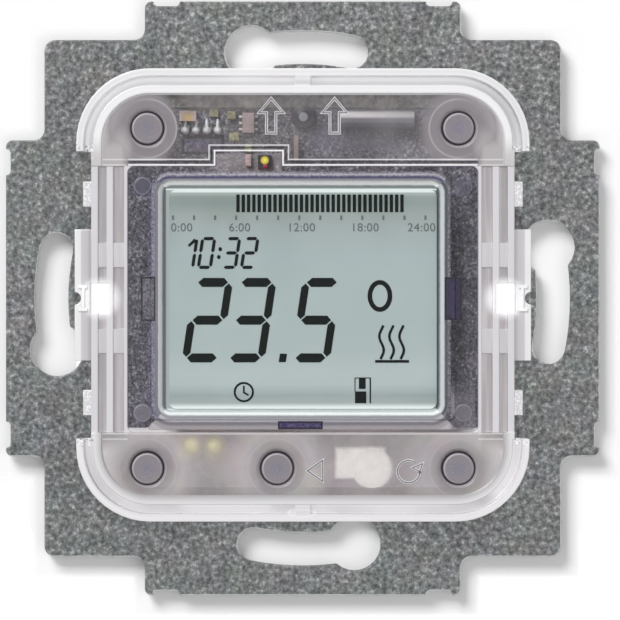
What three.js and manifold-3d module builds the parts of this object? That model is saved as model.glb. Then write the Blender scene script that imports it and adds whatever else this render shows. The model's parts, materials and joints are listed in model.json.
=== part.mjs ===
// A wall thermostat insert for a round flush-mounting box. A steel mounting plate carries a clear
// front cover with five push buttons and a display, and a housing with the electronics behind it.
// Millimetres. X points right, Y into the wall and Z up. The origin is the middle of the back face
// of the mounting plate, which lies on the wall.
import * as THREE from "three";
import { mergeVertices } from "three/addons/utils/BufferGeometryUtils.js";
import Module from "manifold-3d";

// Clearances
const cutGap = 0.3; // between two pieces that pass through or beside each other
const boardGap = 0.4; // round each circuit board
const seatGap = 0.1; // between a piece in the housing and the wall it stands beside
const past = 1; // how far a cutting shape runs past the faces that it cuts

// Steps of a quarter of a curve
const cornerSteps = 3;
const slotSteps = 4;
const cavitySteps = 4;
const coverSteps = 6;

// Mounting plate
const plateSize = 71;
const plateThickness = 1.2;
const tongueWidth = 37.8;
const tongueCornerRadius = 0.8;
const shoulderSize = 61.8;
const shoulderCornerRadius = 1.3;
const tongueFilletRadius = 1.3;
const edgeNotchSpacing = 32.6;
const edgeNotchWidth = 3.1;
const edgeNotchDepth = 0.55;
const fixingCircle = 60; // diameter of the circle that the box screws lie on
const slotWidth = 3.9;
const slotEndAngle = 11.3; // degrees from the middle of the side to the plain end of a slot
const keyholeAngle = 11.8; // degrees from the middle of the side to the round end of a slot
const keyholeDiameter = 6.3;

// Display: the part of it that shows, and the cell and the frame round it
const displayWidth = 32.3;
const displayHeight = 26.5;
const displayCornerRadius = 0.8;
const displayLevel = -0.12; // height of the middle of the display
const lcdSideMargin = 1.15; // glass hidden by the frame on each side
const lcdGlassThickness = 0.8;
const lcdLedge = 1.3; // front glass past the rear glass, at the top and the bottom
const lcdRecess = 1.2; // front glass below the front of the frame
const polarizerThickness = 0.2;
const reflectorThickness = 0.25;
const stripThickness = 1.1;
const stripInset = 1.3;
const collarSideWidth = 1.85;
const collarEndWidth = 1;
const collarRise = 0.8;
const flangeSideWidth = 2.45;
const flangeEndWidth = 1.2;
const flangeThickness = 1;
const flangeBelowFace = 1;
const frameWall = 0.66;
const pegDiameter = 2.26;
const pegSideInset = 1.75; // from the edge of the window to the middle of a peg
const pegEndInset = 2.3;
const pegRise = 0.3;

// Front cover: from the display window outwards
const coverHeight = 8.8;
const coverRise = 0.4; // the cover's outline sits this far above the middle of the plate
const coverCornerRadius = 8.8;
const faceThickness = 1.2;
const windowCornerRadius = 0.8;
const windowWall = 0.4;
const guideGroove = 1.3;
const railRidge = 0.8;
const railGroove = 1;
const railWall = 0.8;
const railHeight = 8;
const railGrooveDepth = 3.4;
const bridgeSpacing = 10.2;
const bridgeHeight = 2.9;
const bridgeDrop = 0.9;
const waistInset = 1.85; // from the side of the bands in to the side of the waist
const waistHeight = 34.1;
const bandHeight = 11.15; // from the display window to the outline of the cover
const rimWall = 0.9;
const rimWallHeight = 6.2;
const rimGroove = 1.2;
const rimGrooveFloor = 1.8;
const rimRibWidth = 1.9;
const beadWidth = 1;
const beadHeight = 0.4;
const bandWall = 1.4; // wall behind the bead, round the cavity
const recessLeft = -10.3;
const recessWidth = 7.8;
const recessRise = 1.7;
const tabInset = 0.75;
const tabHeight = 3;
const tabSpacing = 24.8;
const tabDepth = 4.2;
const latchProud = 0.2;
const latchHeight = 15.6;
const latchDepth = 5.4;
const latchNotchRadius = 0.75;

// Rear housing
const boxDiameter = 57; // circle that everything behind the plate fits in
const boardLap = 0.55; // how far the display board reaches under the rails of the cover
const bandSeat = 4.4; // from the outline of the cover in to the housing
const housingDepth = 26;
const housingCornerRadius = 4.5;
const housingWall = 1.2;
const rimHeight = 1.6; // how far the housing stands out of the front of the plate
const earMargin = 2; // round the screw in an ear
const earHeight = 4.8;
const earThickness = 1.6;
const earCornerRadius = 1.2;
const ribReach = 3.1;
const ribWidth = 2.5;
const upperRibLevel = 3;

// Housing screws
const screwOffset = 1.9; // from the side of the housing to the axis of a screw
const screwRow = 11.8;
const screwDiameter = 1.9;
const screwReach = 3.4; // into the cover, from the front of the plate
const screwHeadDiameter = 3.8;
const screwHeadHeight = 1.3;
const screwCrossLength = 2.3; // the cross in the head, from end to end

// Snap windows on both sides, for the legs of a decorative frame
const snapWindowOffset = 1.55; // from the side of the housing
const snapWindowWidth = 2.45;
const snapWindowHeight = 3.6;

// Push buttons
const buttonSideInset = 8.5; // from the outline of the cover
const buttonEndInset = 6.8;
const resetColumn = -3.05;
const capDiameter = 3.66;
const capProud = 0.5;
const capFlangeDiameter = 5.2;
const capFlangeThickness = 0.7;
const capStemDiameter = 2.4;
const capCornerRadius = 0.25;
const buttonGap = 0.2; // between a cap and its hole
const holeChamfer = 0.3;
const buttonCollarWall = 0.65;
const buttonCollarDepth = 1.5;
const buttonTravel = 0.4;

// Tactile switches
const switchSize = 4.5;
const switchHeight = 1.6;
const switchStemDiameter = 2;
const switchStemProud = 0.7;
const switchWellDepth = 1.2;

// Display board and its parts
const boardThickness = 1.2;
const controllerSize = 10;
const controllerHeight = 1.4;
const controllerPlace = [3, -2];
const crystalLength = 8.8;
const crystalDiameter = 2.4;
const crystalColumn = 8.85;
const crystalAboveButtons = 1.1;
const backupDiameter = 4.8;
const backupHeight = 3.4;
const backupBaseWidth = 6;
const backupBaseDepth = 3.9;
const backupBaseHeight = 1.2;
const backupColumn = 8.1;
const sensorDiameter = 2;
const sensorColumn = -13.2;
const sensorAboveButtons = 2.7;
const ledColumn = -4.55;
const ledAboveWindow = 0.62;
const ledWidth = 1.6;
const ledHeight = 0.9;
const ledLensDiameter = 1.1;
const chipColumn = -13.7;
const chipAboveButtons = 1.6;
const chipWidth = 2;
const chipHeight = 1.2;

// Header that joins the two boards
const headerPins = 4;
const headerPitch = 1.3;
const headerColumn = -12.1;
const headerBarHeight = 1.4;
const headerBarWidth = 1.5;
const pinWidth = 0.5;
const pinProud = 0.6;
const pinReach = 5.2;
const socketHeight = 4.6;
const socketEndWall = 0.26;

// Power board and its parts
const powerBoardLevel = 6;
const relayWidth = 20;
const relayDepth = 10;
const relayBackGap = 2.6; // behind the relay, to the inside of the housing
const relaySideGap = 1.1;
const relayTopGap = 3.3;
const filmWidth = 17;
const filmDepth = 7.6;
const filmBackGap = 4.6;
const filmSideGap = 1.8;
const electrolyticDiameter = 10;
const electrolyticBackGap = 2.1;
const electrolyticSideGap = 2.7;
const electrolyticTopGap = 3.9;
const varistorDiameter = 9;
const varistorThickness = 3.6;
const varistorLift = 1.2;
const varistorPlace = [8.6, -0.6];
const leadDiameter = 0.8;
const leadSpacing = 5;
const fuseDiameter = 8;
const fuseBackGap = 10;
const fuseColumn = 11.4;
const fuseGap = 1.2; // above the terminal block

// Terminals
const terminalCount = 5;
const terminalPitch = 5.6;
const terminalInset = 4.3; // from the bottom of the block to the axis of the screws
const terminalBlockHeight = 8.4;
const terminalEndWall = 0.6;
const terminalBackGap = 0.2;
const wireHoleDiameter = 3.2;
const cageWall = 0.75;
const cageTop = 1;
const cageLength = 5;
const cageWindow = 4.5;
const cageTravel = 2;
const clampScrewDiameter = 2.4;
const clampHeadDiameter = 4;
const clampHeadHeight = 1.8;
const screwSlotWidth = 0.6;
const screwSlotDepth = 0.9;
const shoulderThickness = 0.9;
const barThickness = 0.8;
const barWidth = 1.9;
const driverHoleDiameter = 3.6;

// Levels along Y, from the front of the object to its back
const plateFront = -plateThickness;
const coverFront = plateFront - coverHeight;
const faceFront = coverFront + beadHeight;
const faceBack = faceFront + faceThickness;
const boardBack = plateFront - rimHeight;
const boardFront = boardBack - boardThickness;
const switchTop = boardFront - switchHeight;
const switchStemTop = switchTop - switchStemProud;
const flangeFront = faceFront + flangeBelowFace;
const flangeBack = flangeFront + flangeThickness;
const frameFront = flangeFront - collarRise;
const glassFront = frameFront + lcdRecess;
const ledgeBack = glassFront + lcdGlassThickness;
const rearGlassBack = ledgeBack + lcdGlassThickness;
const powerBoardBack = powerBoardLevel + boardThickness;
const housingInside = housingDepth - housingWall;

// Sizes across the object, from the display outwards
const windowHalfWidth = displayWidth / 2 + collarSideWidth + flangeSideWidth + cutGap;
const windowHalfHeight = displayHeight / 2 + collarEndWidth + flangeEndWidth + cutGap;
const windowTop = displayLevel + windowHalfHeight;
const frameCavityHeight = 2 * (windowHalfHeight - cutGap - frameWall);
const lcdWidth = displayWidth + 2 * lcdSideMargin;
const lcdHeight = frameCavityHeight - 2 * cutGap;
const guideGrooveMiddle = windowHalfWidth + windowWall + guideGroove / 2;
const railGrooveMiddle = guideGrooveMiddle + guideGroove / 2 + railRidge + railGroove / 2;
const waistHalf = railGrooveMiddle + railGroove / 2 + railWall;
const coverHalfWidth = waistHalf + waistInset;
const coverHalfHeight = windowHalfHeight + bandHeight;
const housingWidth = 2 * (windowHalfWidth + boardLap);
const housingHeight = 2 * (coverHalfHeight - bandSeat);
const screwColumn = housingWidth / 2 + screwOffset;
const insideHalfWidth = housingWidth / 2 - housingWall;
const insideHalfHeight = housingHeight / 2 - housingWall;
const buttonColumn = coverHalfWidth - buttonSideInset;
const buttonRow = coverHalfHeight - buttonEndInset;
const capHoleRadius = capDiameter / 2 + buttonGap;
const collarInnerRadius = capFlangeDiameter / 2 + buttonGap;
const buttons = {
  up: [-buttonColumn, buttonRow],
  down: [buttonColumn, buttonRow],
  mode: [-buttonColumn, -buttonRow],
  reset: [resetColumn, -buttonRow],
  ok: [buttonColumn, -buttonRow],
};

// Levels of one terminal along Y, from the driver's side forwards, and its sizes across
const blockBack = housingInside - terminalBackGap;
const headBack = blockBack - cutGap;
const headFront = headBack - clampHeadHeight;
const shoulderBack = headFront - cutGap;
const pocketBack = shoulderBack - shoulderThickness;
const cageBack = pocketBack - cutGap - cageTravel;
const cageWindowBack = cageBack - cageTop;
const cageWindowFront = cageWindowBack - cageWindow;
const cageFront = cageWindowFront - cageWall;
const pocketFront = cageFront - cutGap;
const barBack = cageWindowBack - cutGap;
const barFront = barBack - barThickness;
const screwTip = barBack + cutGap;
const cageWindowHalf = barWidth / 2 + cutGap;
const cageHalf = cageWindowHalf + cageWall;
const pocketHalf = cageHalf + cutGap;
const pocketLength = cageLength + 2 * cutGap;
const wireLevel = (cageWindowFront + barFront) / 2;
const blockBottom = -insideHalfHeight + seatGap;
const blockTop = blockBottom + terminalBlockHeight;
const terminalLevel = blockBottom + terminalInset;
const lowerRibLevel = blockTop + cutGap + ribWidth / 2;

const sides = [-1, 1];
const corners = sides.flatMap((x) => sides.map((z) => [x, z]));

const wasm = await Module();
wasm.setup();

// A closed three.js geometry as a solid that can be joined and cut.
function solidOf(geometry) {
  const bare = geometry.clone();
  bare.deleteAttribute("normal");
  bare.deleteAttribute("uv");
  const merged = mergeVertices(bare, 1e-4);
  return new wasm.Manifold(
    new wasm.Mesh({
      numProp: 3,
      vertProperties: merged.attributes.position.array,
      triVerts: new Uint32Array(merged.index.array),
    }),
  );
}

function geometryOf(solid) {
  const mesh = solid.getMesh();
  const geometry = new THREE.BufferGeometry();
  geometry.setAttribute("position", new THREE.BufferAttribute(mesh.vertProperties, 3));
  geometry.setIndex(new THREE.BufferAttribute(mesh.triVerts, 1));
  const flat = geometry.toNonIndexed();
  flat.computeVertexNormals();
  return flat;
}

const join = (first, ...rest) => rest.reduce((made, next) => made.add(next), first);
const cut = (first, ...rest) => rest.reduce((made, next) => made.subtract(next), first);

// A box between two Y levels, centred on x and z.
function block(width, height, front, back, x = 0, z = 0) {
  const box = new THREE.BoxGeometry(width, back - front, height);
  return solidOf(box.translate(x, (front + back) / 2, z));
}

// A flat outline in X and Z, extruded between two Y levels.
function slab(outline, front, back, steps = cornerSteps) {
  const settings = { depth: back - front, bevelEnabled: false, curveSegments: steps };
  const made = new THREE.ExtrudeGeometry(outline, settings);
  return solidOf(made.rotateX(Math.PI / 2).translate(0, back, 0));
}

// The sides of a round body: four times a quarter's steps, with more on a wide one.
const roundSides = (diameter) => 4 * Math.round(2 + 1.8 * Math.sqrt(diameter));

// A round rod along Y. Its front end may have another diameter than its back end.
function rod(diameter, front, back, x = 0, z = 0, frontDiameter = diameter) {
  const count = roundSides(Math.max(diameter, frontDiameter));
  const made = new THREE.CylinderGeometry(diameter / 2, frontDiameter / 2, back - front, count);
  return solidOf(made.translate(x, (front + back) / 2, z));
}

// A rectangle with round corners, centred on x and z.
function roundedRectangle(width, height, radius, x = 0, z = 0) {
  const right = width / 2;
  const top = height / 2;
  const r = Math.min(radius, right - 0.01, top - 0.01);
  const shape = new THREE.Shape();
  shape.absarc(x + right - r, z + top - r, r, 0, Math.PI / 2);
  shape.absarc(x - right + r, z + top - r, r, Math.PI / 2, Math.PI);
  shape.absarc(x - right + r, z - top + r, r, Math.PI, 1.5 * Math.PI);
  shape.absarc(x + right - r, z - top + r, r, 1.5 * Math.PI, 2 * Math.PI);
  shape.closePath();
  return shape;
}

// The outline of the bay behind the plate, grown outwards: a rectangle clipped by the round box.
function bay(grow, front, back) {
  const width = housingWidth + 2 * grow;
  const height = housingHeight + 2 * grow;
  const radius = Math.max(housingCornerRadius + grow, 0.5);
  const rectangle = slab(roundedRectangle(width, height, radius), front, back);
  return rectangle.intersect(rod(boxDiameter + 2 * grow, front - past, back + past));
}

// The cover's outline, moved inwards by inset.
function coverOutline(inset) {
  const width = 2 * (coverHalfWidth - inset);
  const height = 2 * (coverHalfHeight - inset);
  return roundedRectangle(width, height, coverCornerRadius - inset, 0, coverRise);
}

const thermostat = new THREE.Group();

function add(parent, name, solid, colour, roughness, metalness = 0, place = [0, 0, 0]) {
  const material = new THREE.MeshStandardMaterial({ color: colour, roughness, metalness });
  const mesh = new THREE.Mesh(geometryOf(solid), material);
  mesh.name = name;
  mesh.position.set(...place);
  parent.add(mesh);
  return mesh;
}

function subgroup() {
  const made = new THREE.Group();
  thermostat.add(made);
  return made;
}

// A slot on the fixing circle, with a plain end and a keyhole end, turned to one side of the plate.
function fixingSlot(turn, front, back) {
  const radius = fixingCircle / 2;
  const half = slotWidth / 2;
  const start = turn - THREE.MathUtils.degToRad(slotEndAngle);
  const end = turn + THREE.MathUtils.degToRad(keyholeAngle);
  const shape = new THREE.Shape();
  shape.absarc(0, 0, radius + half, start, end);
  shape.absarc(radius * Math.cos(end), radius * Math.sin(end), half, end, end + Math.PI);
  shape.absarc(0, 0, radius - half, end, start, true);
  const tip = [radius * Math.cos(start), radius * Math.sin(start)];
  shape.absarc(...tip, half, start + Math.PI, start + 2 * Math.PI);
  shape.closePath();
  const keyhole = [radius * Math.cos(end), radius * Math.sin(end)];
  return join(slab(shape, front, back, slotSteps), rod(keyholeDiameter, front, back, ...keyhole));
}

// What fills the inner corner between a tongue and a shoulder, with a hollow round edge.
function tongueFillet(x, z, alongX) {
  const r = tongueFilletRadius;
  const [far, near] = [shoulderSize / 2, tongueWidth / 2];
  const [cx, cz] = alongX ? [x * (far + r), z * (near + r)] : [x * (near + r), z * (far + r)];
  const side = r + cutGap;
  const filler = block(side, side, plateFront, 0, cx - (x * side) / 2, cz - (z * side) / 2);
  return cut(filler, rod(2 * r, plateFront - past, past, cx, cz));
}

function edgeNotch(turn, side) {
  const [along, out] = [(side * edgeNotchSpacing) / 2, plateSize / 2];
  const [c, s] = [Math.cos(turn), Math.sin(turn)];
  const level = Math.abs(c) > 0.5;
  const across = level ? 2 * edgeNotchDepth : edgeNotchWidth;
  const up = level ? edgeNotchWidth : 2 * edgeNotchDepth;
  const place = [out * c - along * s, out * s + along * c];
  return slab(roundedRectangle(across, up, edgeNotchDepth * 0.9, ...place), plateFront - past, past);
}

function snapWindow(side, gap, front, back) {
  const width = snapWindowWidth + 2 * gap;
  const height = snapWindowHeight + 2 * gap;
  const x = side * (housingWidth / 2 + snapWindowOffset + snapWindowWidth / 2);
  return block(width, height, front, back, x, 0);
}

function mountingPlate() {
  const upright = roundedRectangle(tongueWidth, plateSize, tongueCornerRadius);
  const level = roundedRectangle(plateSize, tongueWidth, tongueCornerRadius);
  const shoulders = roundedRectangle(shoulderSize, shoulderSize, shoulderCornerRadius);
  const outline = [upright, level, shoulders].map((shape) => slab(shape, plateFront, 0));
  const fillets = corners.flatMap(([x, z]) => [tongueFillet(x, z, true), tongueFillet(x, z, false)]);
  const turns = [0, 1, 2, 3].map((quarter) => (quarter * Math.PI) / 2);
  const slots = turns.map((turn) => fixingSlot(turn, plateFront - past, past));
  const notches = turns.flatMap((turn) => sides.map((side) => edgeNotch(turn, side)));
  const windows = sides.map((side) => snapWindow(side, cutGap / 2, plateFront - past, past));
  const holes = screwHoles(plateFront - past, past);
  const opening = bay(cutGap, plateFront - past, past);
  return cut(join(...outline, ...fillets), ...slots, ...notches, ...windows, ...holes, opening);
}

function screwHoles(front, back) {
  const diameter = screwDiameter + 2 * cutGap;
  return corners.map(([x, z]) => rod(diameter, front, back, x * screwColumn, z * screwRow));
}

function housingEar([x, z]) {
  const root = housingWidth / 2 - housingWall / 2;
  const width = screwColumn + earMargin - root;
  const middle = x * (root + width / 2);
  const outline = roundedRectangle(width, earHeight, earCornerRadius, middle, z * screwRow);
  const foot = block(width / 2, earHeight, 0, earThickness, x * (root + width / 4), z * screwRow);
  return join(slab(outline, 0, earThickness), foot);
}

// The ribs inside the housing that the power board stands on.
function housingRibs() {
  const reach = ribReach + housingWall / 2;
  return sides.flatMap((side) =>
    [upperRibLevel, lowerRibLevel].map((z) => {
      const x = side * (insideHalfWidth + housingWall / 2 - reach / 2);
      return block(reach, ribWidth, powerBoardBack, housingInside + housingWall / 2, x, z);
    }),
  );
}

function rearHousing() {
  const shell = cut(bay(0, boardBack, housingDepth), bay(-housingWall, boardBack - past, housingInside));
  const columns = terminalColumns();
  const driverHoles = columns.map((x) =>
    rod(driverHoleDiameter, housingInside - past, housingDepth + past, x, terminalLevel),
  );
  const wireHoles = columns.map((x) => wireHole(x, -housingHeight / 2 - past, blockBottom + past));
  const body = join(shell, ...housingRibs(), ...corners.map(housingEar));
  return cut(body, ...screwHoles(-past, earThickness + past), ...driverHoles, ...wireHoles);
}

// A block on one side of the cover, from one distance from the middle to another.
function sideBlock(side, from, to, height, front, back, z = 0) {
  return block(to - from, height, front, back, (side * (from + to)) / 2, z);
}

// Everything that the front cover is made of before it is cut.
function coverBlank() {
  const outline = slab(coverOutline(0), coverFront, plateFront, coverSteps);
  const waists = sides.map((side) =>
    sideBlock(side, waistHalf, coverHalfWidth + past, waistHeight, coverFront - past, past, coverRise),
  );
  const latchReach = coverHalfWidth + latchProud;
  const latches = sides.map((side) => {
    const inner = waistHalf - railWall - railGroove;
    const front = plateFront - latchDepth;
    const body = sideBlock(side, inner, latchReach, latchHeight, front, plateFront, coverRise);
    return cut(body, rod(2 * latchNotchRadius, coverFront, past, side * latchReach, 0));
  });
  const tabs = corners.map(([x, z]) => {
    const reach = coverHalfWidth - tabInset;
    const level = (z * tabSpacing) / 2;
    return sideBlock(x, waistHalf - railWall, reach, tabHeight, plateFront - tabDepth, plateFront, level);
  });
  return join(cut(outline, ...waists), ...latches, ...tabs);
}

// The groove between the outer wall and the bead, and the step down to the outer wall.
function coverRimCut() {
  const rimTop = plateFront - rimWallHeight;
  const floor = plateFront - rimGrooveFloor;
  const bead = coverOutline(rimWall + rimGroove);
  const step = cut(
    slab(coverOutline(-past), coverFront - past, rimTop, coverSteps),
    slab(bead, coverFront - 2 * past, rimTop + past, coverSteps),
  );
  const groove = cut(
    slab(coverOutline(rimWall), coverFront - past, floor, coverSteps),
    slab(bead, coverFront - 2 * past, floor + past, coverSteps),
  );
  const ribs = sides.map((side) => {
    const level = coverRise + side * (coverHalfHeight - rimWall);
    return block(rimRibWidth, 4 * rimGroove, rimTop, floor + past, 0, level);
  });
  const waistWidth = 2 * (coverHalfWidth + 2 * past);
  const waist = block(waistWidth, waistHeight, coverFront - 2 * past, past, 0, coverRise);
  return cut(join(step, cut(groove, ...ribs)), waist);
}

// The guide rails beside the display window: two grooves on each side, crossed by bridges.
function coverRailCuts() {
  const top = plateFront - railHeight;
  const floor = top + railGrooveDepth;
  const height = 2 * windowHalfHeight;
  const front = coverFront - past;
  const bridges = sides.map((side) => {
    const level = (side * bridgeSpacing) / 2;
    return block(2 * coverHalfWidth, bridgeHeight, top + bridgeDrop, floor + past, 0, level);
  });
  const grooves = sides.flatMap((side) => [
    block(guideGroove, height, front, floor, side * guideGrooveMiddle, displayLevel),
    block(railGroove, height, front, floor, side * railGrooveMiddle, displayLevel),
  ]);
  const inner = windowHalfWidth + windowWall;
  const steps = sides.map((side) =>
    sideBlock(side, inner, coverHalfWidth + past, height, front, top, displayLevel),
  );
  return join(...steps, cut(join(...grooves), ...bridges));
}

// The hollow behind the face: one high space in each band, and the space round the display board.
function coverCavity() {
  const outline = coverOutline(rimWall + rimGroove + bandWall);
  const high = slab(outline, faceBack, plateFront + past, cavitySteps);
  const height = 2 * (windowHalfHeight + windowWall);
  const railBlocks = sides.map((side) =>
    sideBlock(side, windowHalfWidth, coverHalfWidth, height, faceBack - past, boardFront, displayLevel),
  );
  return join(cut(high, ...railBlocks), bay(boardGap, boardFront, plateFront + past));
}

function buttonCollars() {
  const outer = 2 * (collarInnerRadius + buttonCollarWall);
  return Object.values(buttons).map(([x, z]) =>
    rod(outer, faceBack - faceThickness / 2, faceBack + buttonCollarDepth, x, z),
  );
}

function buttonHoles() {
  const hole = 2 * capHoleRadius;
  const wide = hole + 2 * holeChamfer;
  return Object.values(buttons).flatMap(([x, z]) => [
    rod(hole, coverFront - past, faceBack + past, x, z),
    rod(hole, faceFront, faceFront + holeChamfer, x, z, wide),
    rod(2 * collarInnerRadius, faceBack, faceBack + buttonCollarDepth + past, x, z),
  ]);
}

function windowOutline(gap) {
  const width = 2 * (windowHalfWidth - gap);
  const height = 2 * (windowHalfHeight - gap);
  return roundedRectangle(width, height, windowCornerRadius, 0, displayLevel);
}

function frontCover() {
  const faceOutline = coverOutline(rimWall + rimGroove + beadWidth);
  const face = slab(faceOutline, coverFront - past, faceFront, coverSteps);
  const hollow = cut(coverBlank(), coverRimCut(), coverRailCuts(), face, coverCavity());
  const window = slab(windowOutline(0), coverFront - past, boardFront);
  const recessColumn = recessLeft + recessWidth / 2;
  const recessBack = faceBack + past / 2;
  const recessHeight = 2 * recessRise;
  const recess = block(recessWidth, recessHeight, coverFront - past, recessBack, recessColumn, windowTop);
  const snaps = sides.map((side) => snapWindow(side, 0, coverFront - past, past));
  const pilots = screwHoles(plateFront - screwReach - cutGap, past);
  return cut(join(hollow, ...buttonCollars()), window, recess, ...snaps, ...pilots, ...buttonHoles());
}

// The parts of one button are made round the axis of its cap.
function buttonCap() {
  const front = coverFront - capProud;
  const flangeStart = faceBack + cutGap;
  const flangeEnd = flangeStart + capFlangeThickness;
  return join(
    rod(capDiameter, front + capCornerRadius, flangeEnd),
    rod(capDiameter, front, front + capCornerRadius, 0, 0, capDiameter - 2 * capCornerRadius),
    rod(capFlangeDiameter, flangeStart, flangeEnd),
    rod(capStemDiameter, flangeStart, switchStemTop),
  );
}

function switchBody() {
  const body = block(switchSize, switchSize, switchTop, boardFront);
  const wellDiameter = switchStemDiameter + 2 * cutGap;
  return cut(body, rod(wellDiameter, switchTop - past, switchTop + switchWellDepth));
}

function switchStem() {
  const foot = switchTop + switchWellDepth - cutGap - buttonTravel;
  return rod(switchStemDiameter, switchStemTop, foot);
}

function pins(width, front, back) {
  const first = headerColumn - ((headerPins - 1) * headerPitch) / 2;
  return Array.from({ length: headerPins }, (_, i) =>
    block(width, width, front, back, first + i * headerPitch, buttonRow),
  );
}

function displayBoard() {
  const outline = roundedRectangle(housingWidth, housingHeight, housingCornerRadius);
  const board = slab(outline, boardFront, boardBack);
  return cut(board, ...pins(pinWidth + 2 * cutGap, boardFront - past, boardBack + past));
}

function headerBar() {
  const back = boardBack + headerBarHeight;
  const bar = block(headerPins * headerPitch, headerBarWidth, boardBack, back, headerColumn, buttonRow);
  return join(bar, ...pins(pinWidth, boardFront - pinProud, back + pinReach));
}

function headerSocket() {
  const front = powerBoardLevel - socketHeight;
  const length = headerPins * headerPitch + 2 * socketEndWall;
  const body = block(length, headerBarWidth, front, powerBoardLevel, headerColumn, buttonRow);
  return cut(body, ...pins(pinWidth + 2 * cutGap, front - past, powerBoardLevel - headerBarWidth / 3));
}

function displayOutline(gap) {
  const width = displayWidth - 2 * gap;
  const height = displayHeight - 2 * gap;
  return roundedRectangle(width, height, displayCornerRadius, 0, displayLevel);
}

function displayFrame() {
  const flange = slab(windowOutline(cutGap), flangeFront, flangeBack);
  const collarWidth = displayWidth + 2 * collarSideWidth;
  const collarHeight = displayHeight + 2 * collarEndWidth;
  const collar = block(collarWidth, collarHeight, frameFront, flangeBack, 0, displayLevel);
  const cavityWidth = lcdWidth + 2 * cutGap;
  const skirtWidth = cavityWidth + 2 * frameWall;
  const skirtHeight = frameCavityHeight + 2 * frameWall;
  const skirtFront = flangeBack - flangeThickness / 2;
  const skirt = block(skirtWidth, skirtHeight, skirtFront, boardFront, 0, displayLevel);
  const pegs = corners.map(([x, z]) => {
    const column = x * (windowHalfWidth - pegSideInset);
    const level = displayLevel + z * (windowHalfHeight - pegEndInset);
    return rod(pegDiameter, flangeFront - pegRise, boardFront, column, level);
  });
  const opening = slab(displayOutline(0), frameFront - past, glassFront + past);
  const cavity = block(cavityWidth, frameCavityHeight, glassFront, boardFront + past, 0, displayLevel);
  return cut(join(flange, collar, skirt, ...pegs), opening, cavity);
}

function lcdPane(height, front, thickness) {
  return block(lcdWidth, height, front, front + thickness, 0, displayLevel);
}

function frontPolarizer() {
  return slab(displayOutline(cutGap), glassFront - polarizerThickness, glassFront);
}

function contactStrip(side) {
  const z = displayLevel + side * (lcdHeight / 2 - stripThickness / 2);
  return block(lcdWidth - 2 * stripInset, stripThickness, ledgeBack, boardFront, 0, z);
}

// The crystal's can lies on the board, on a flat foot.
function crystal() {
  const radius = crystalDiameter / 2;
  const middle = boardFront - radius;
  const level = buttonRow + crystalAboveButtons;
  const can = new THREE.CylinderGeometry(radius, radius, crystalLength, roundSides(crystalDiameter));
  const body = solidOf(can.rotateZ(Math.PI / 2).translate(crystalColumn, middle, level));
  return join(body, block(crystalLength / 2, radius, middle, boardFront, crystalColumn, level));
}

function backupCapacitor() {
  const column = backupColumn - backupDiameter * 0.29;
  const level = -buttonRow + backupDiameter * 0.13;
  const front = boardFront - backupBaseHeight;
  const base = block(backupBaseWidth, backupBaseDepth, front, boardFront, column, level);
  const cell = rod(backupDiameter, boardFront - backupHeight, boardFront, backupColumn, -buttonRow);
  return join(base, cell);
}

// A glass bead on a short lead.
function temperatureSensor() {
  const middle = boardFront - sensorDiameter / 2;
  const level = -buttonRow + sensorAboveButtons;
  const bead = new THREE.SphereGeometry(sensorDiameter / 2, 12, 8);
  const round = solidOf(bead.translate(sensorColumn, middle, level));
  return join(round, rod(leadDiameter, middle, boardFront, sensorColumn, level));
}

function statusLed() {
  const level = windowTop + ledAboveWindow;
  const base = block(ledWidth, ledWidth, boardFront - ledHeight / 2, boardFront, ledColumn, level);
  return join(base, rod(ledLensDiameter, boardFront - ledHeight, boardFront, ledColumn, level));
}

function chipCapacitor() {
  const level = buttonRow + chipAboveButtons;
  return block(chipWidth, chipHeight, boardFront - chipHeight, boardFront, chipColumn, level);
}

function powerBoard() {
  return bay(-housingWall - boardGap, powerBoardLevel, powerBoardBack);
}

function relay() {
  const x = -insideHalfWidth + relaySideGap + relayWidth / 2;
  const z = insideHalfHeight - relayTopGap - relayDepth / 2;
  return block(relayWidth, relayDepth, powerBoardBack, housingInside - relayBackGap, x, z);
}

function filmCapacitor() {
  const x = -insideHalfWidth + filmSideGap + filmWidth / 2;
  const z = lowerRibLevel + ribWidth / 2 + cutGap + filmDepth / 2;
  return block(filmWidth, filmDepth, powerBoardBack, housingInside - filmBackGap, x, z);
}

function electrolyticCapacitor() {
  const x = insideHalfWidth - electrolyticSideGap - electrolyticDiameter / 2;
  const z = insideHalfHeight - electrolyticTopGap - electrolyticDiameter / 2;
  return rod(electrolyticDiameter, powerBoardBack, housingInside - electrolyticBackGap, x, z);
}

function varistor() {
  const [x, z] = varistorPlace;
  const radius = varistorDiameter / 2;
  const middle = powerBoardBack + varistorLift + radius;
  const count = roundSides(varistorDiameter);
  const disc = new THREE.CylinderGeometry(radius, radius, varistorThickness, count);
  const round = solidOf(disc.rotateX(Math.PI / 2).translate(x, middle, z));
  const leads = sides.map((side) =>
    rod(leadDiameter, powerBoardBack, middle, x + (side * leadSpacing) / 2, z),
  );
  return join(round, ...leads);
}

function fuse() {
  const z = blockTop + fuseGap + fuseDiameter / 2;
  return rod(fuseDiameter, powerBoardBack, housingInside - fuseBackGap, fuseColumn, z);
}

function terminalColumns() {
  const first = (-(terminalCount - 1) * terminalPitch) / 2;
  return Array.from({ length: terminalCount }, (_, i) => first + i * terminalPitch);
}

// A wire hole along Z, from one level to another.
function wireHole(x, bottom, top) {
  const radius = wireHoleDiameter / 2;
  const made = new THREE.CylinderGeometry(radius, radius, top - bottom, roundSides(wireHoleDiameter));
  return solidOf(made.rotateX(Math.PI / 2).translate(x, wireLevel, (bottom + top) / 2));
}

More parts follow.
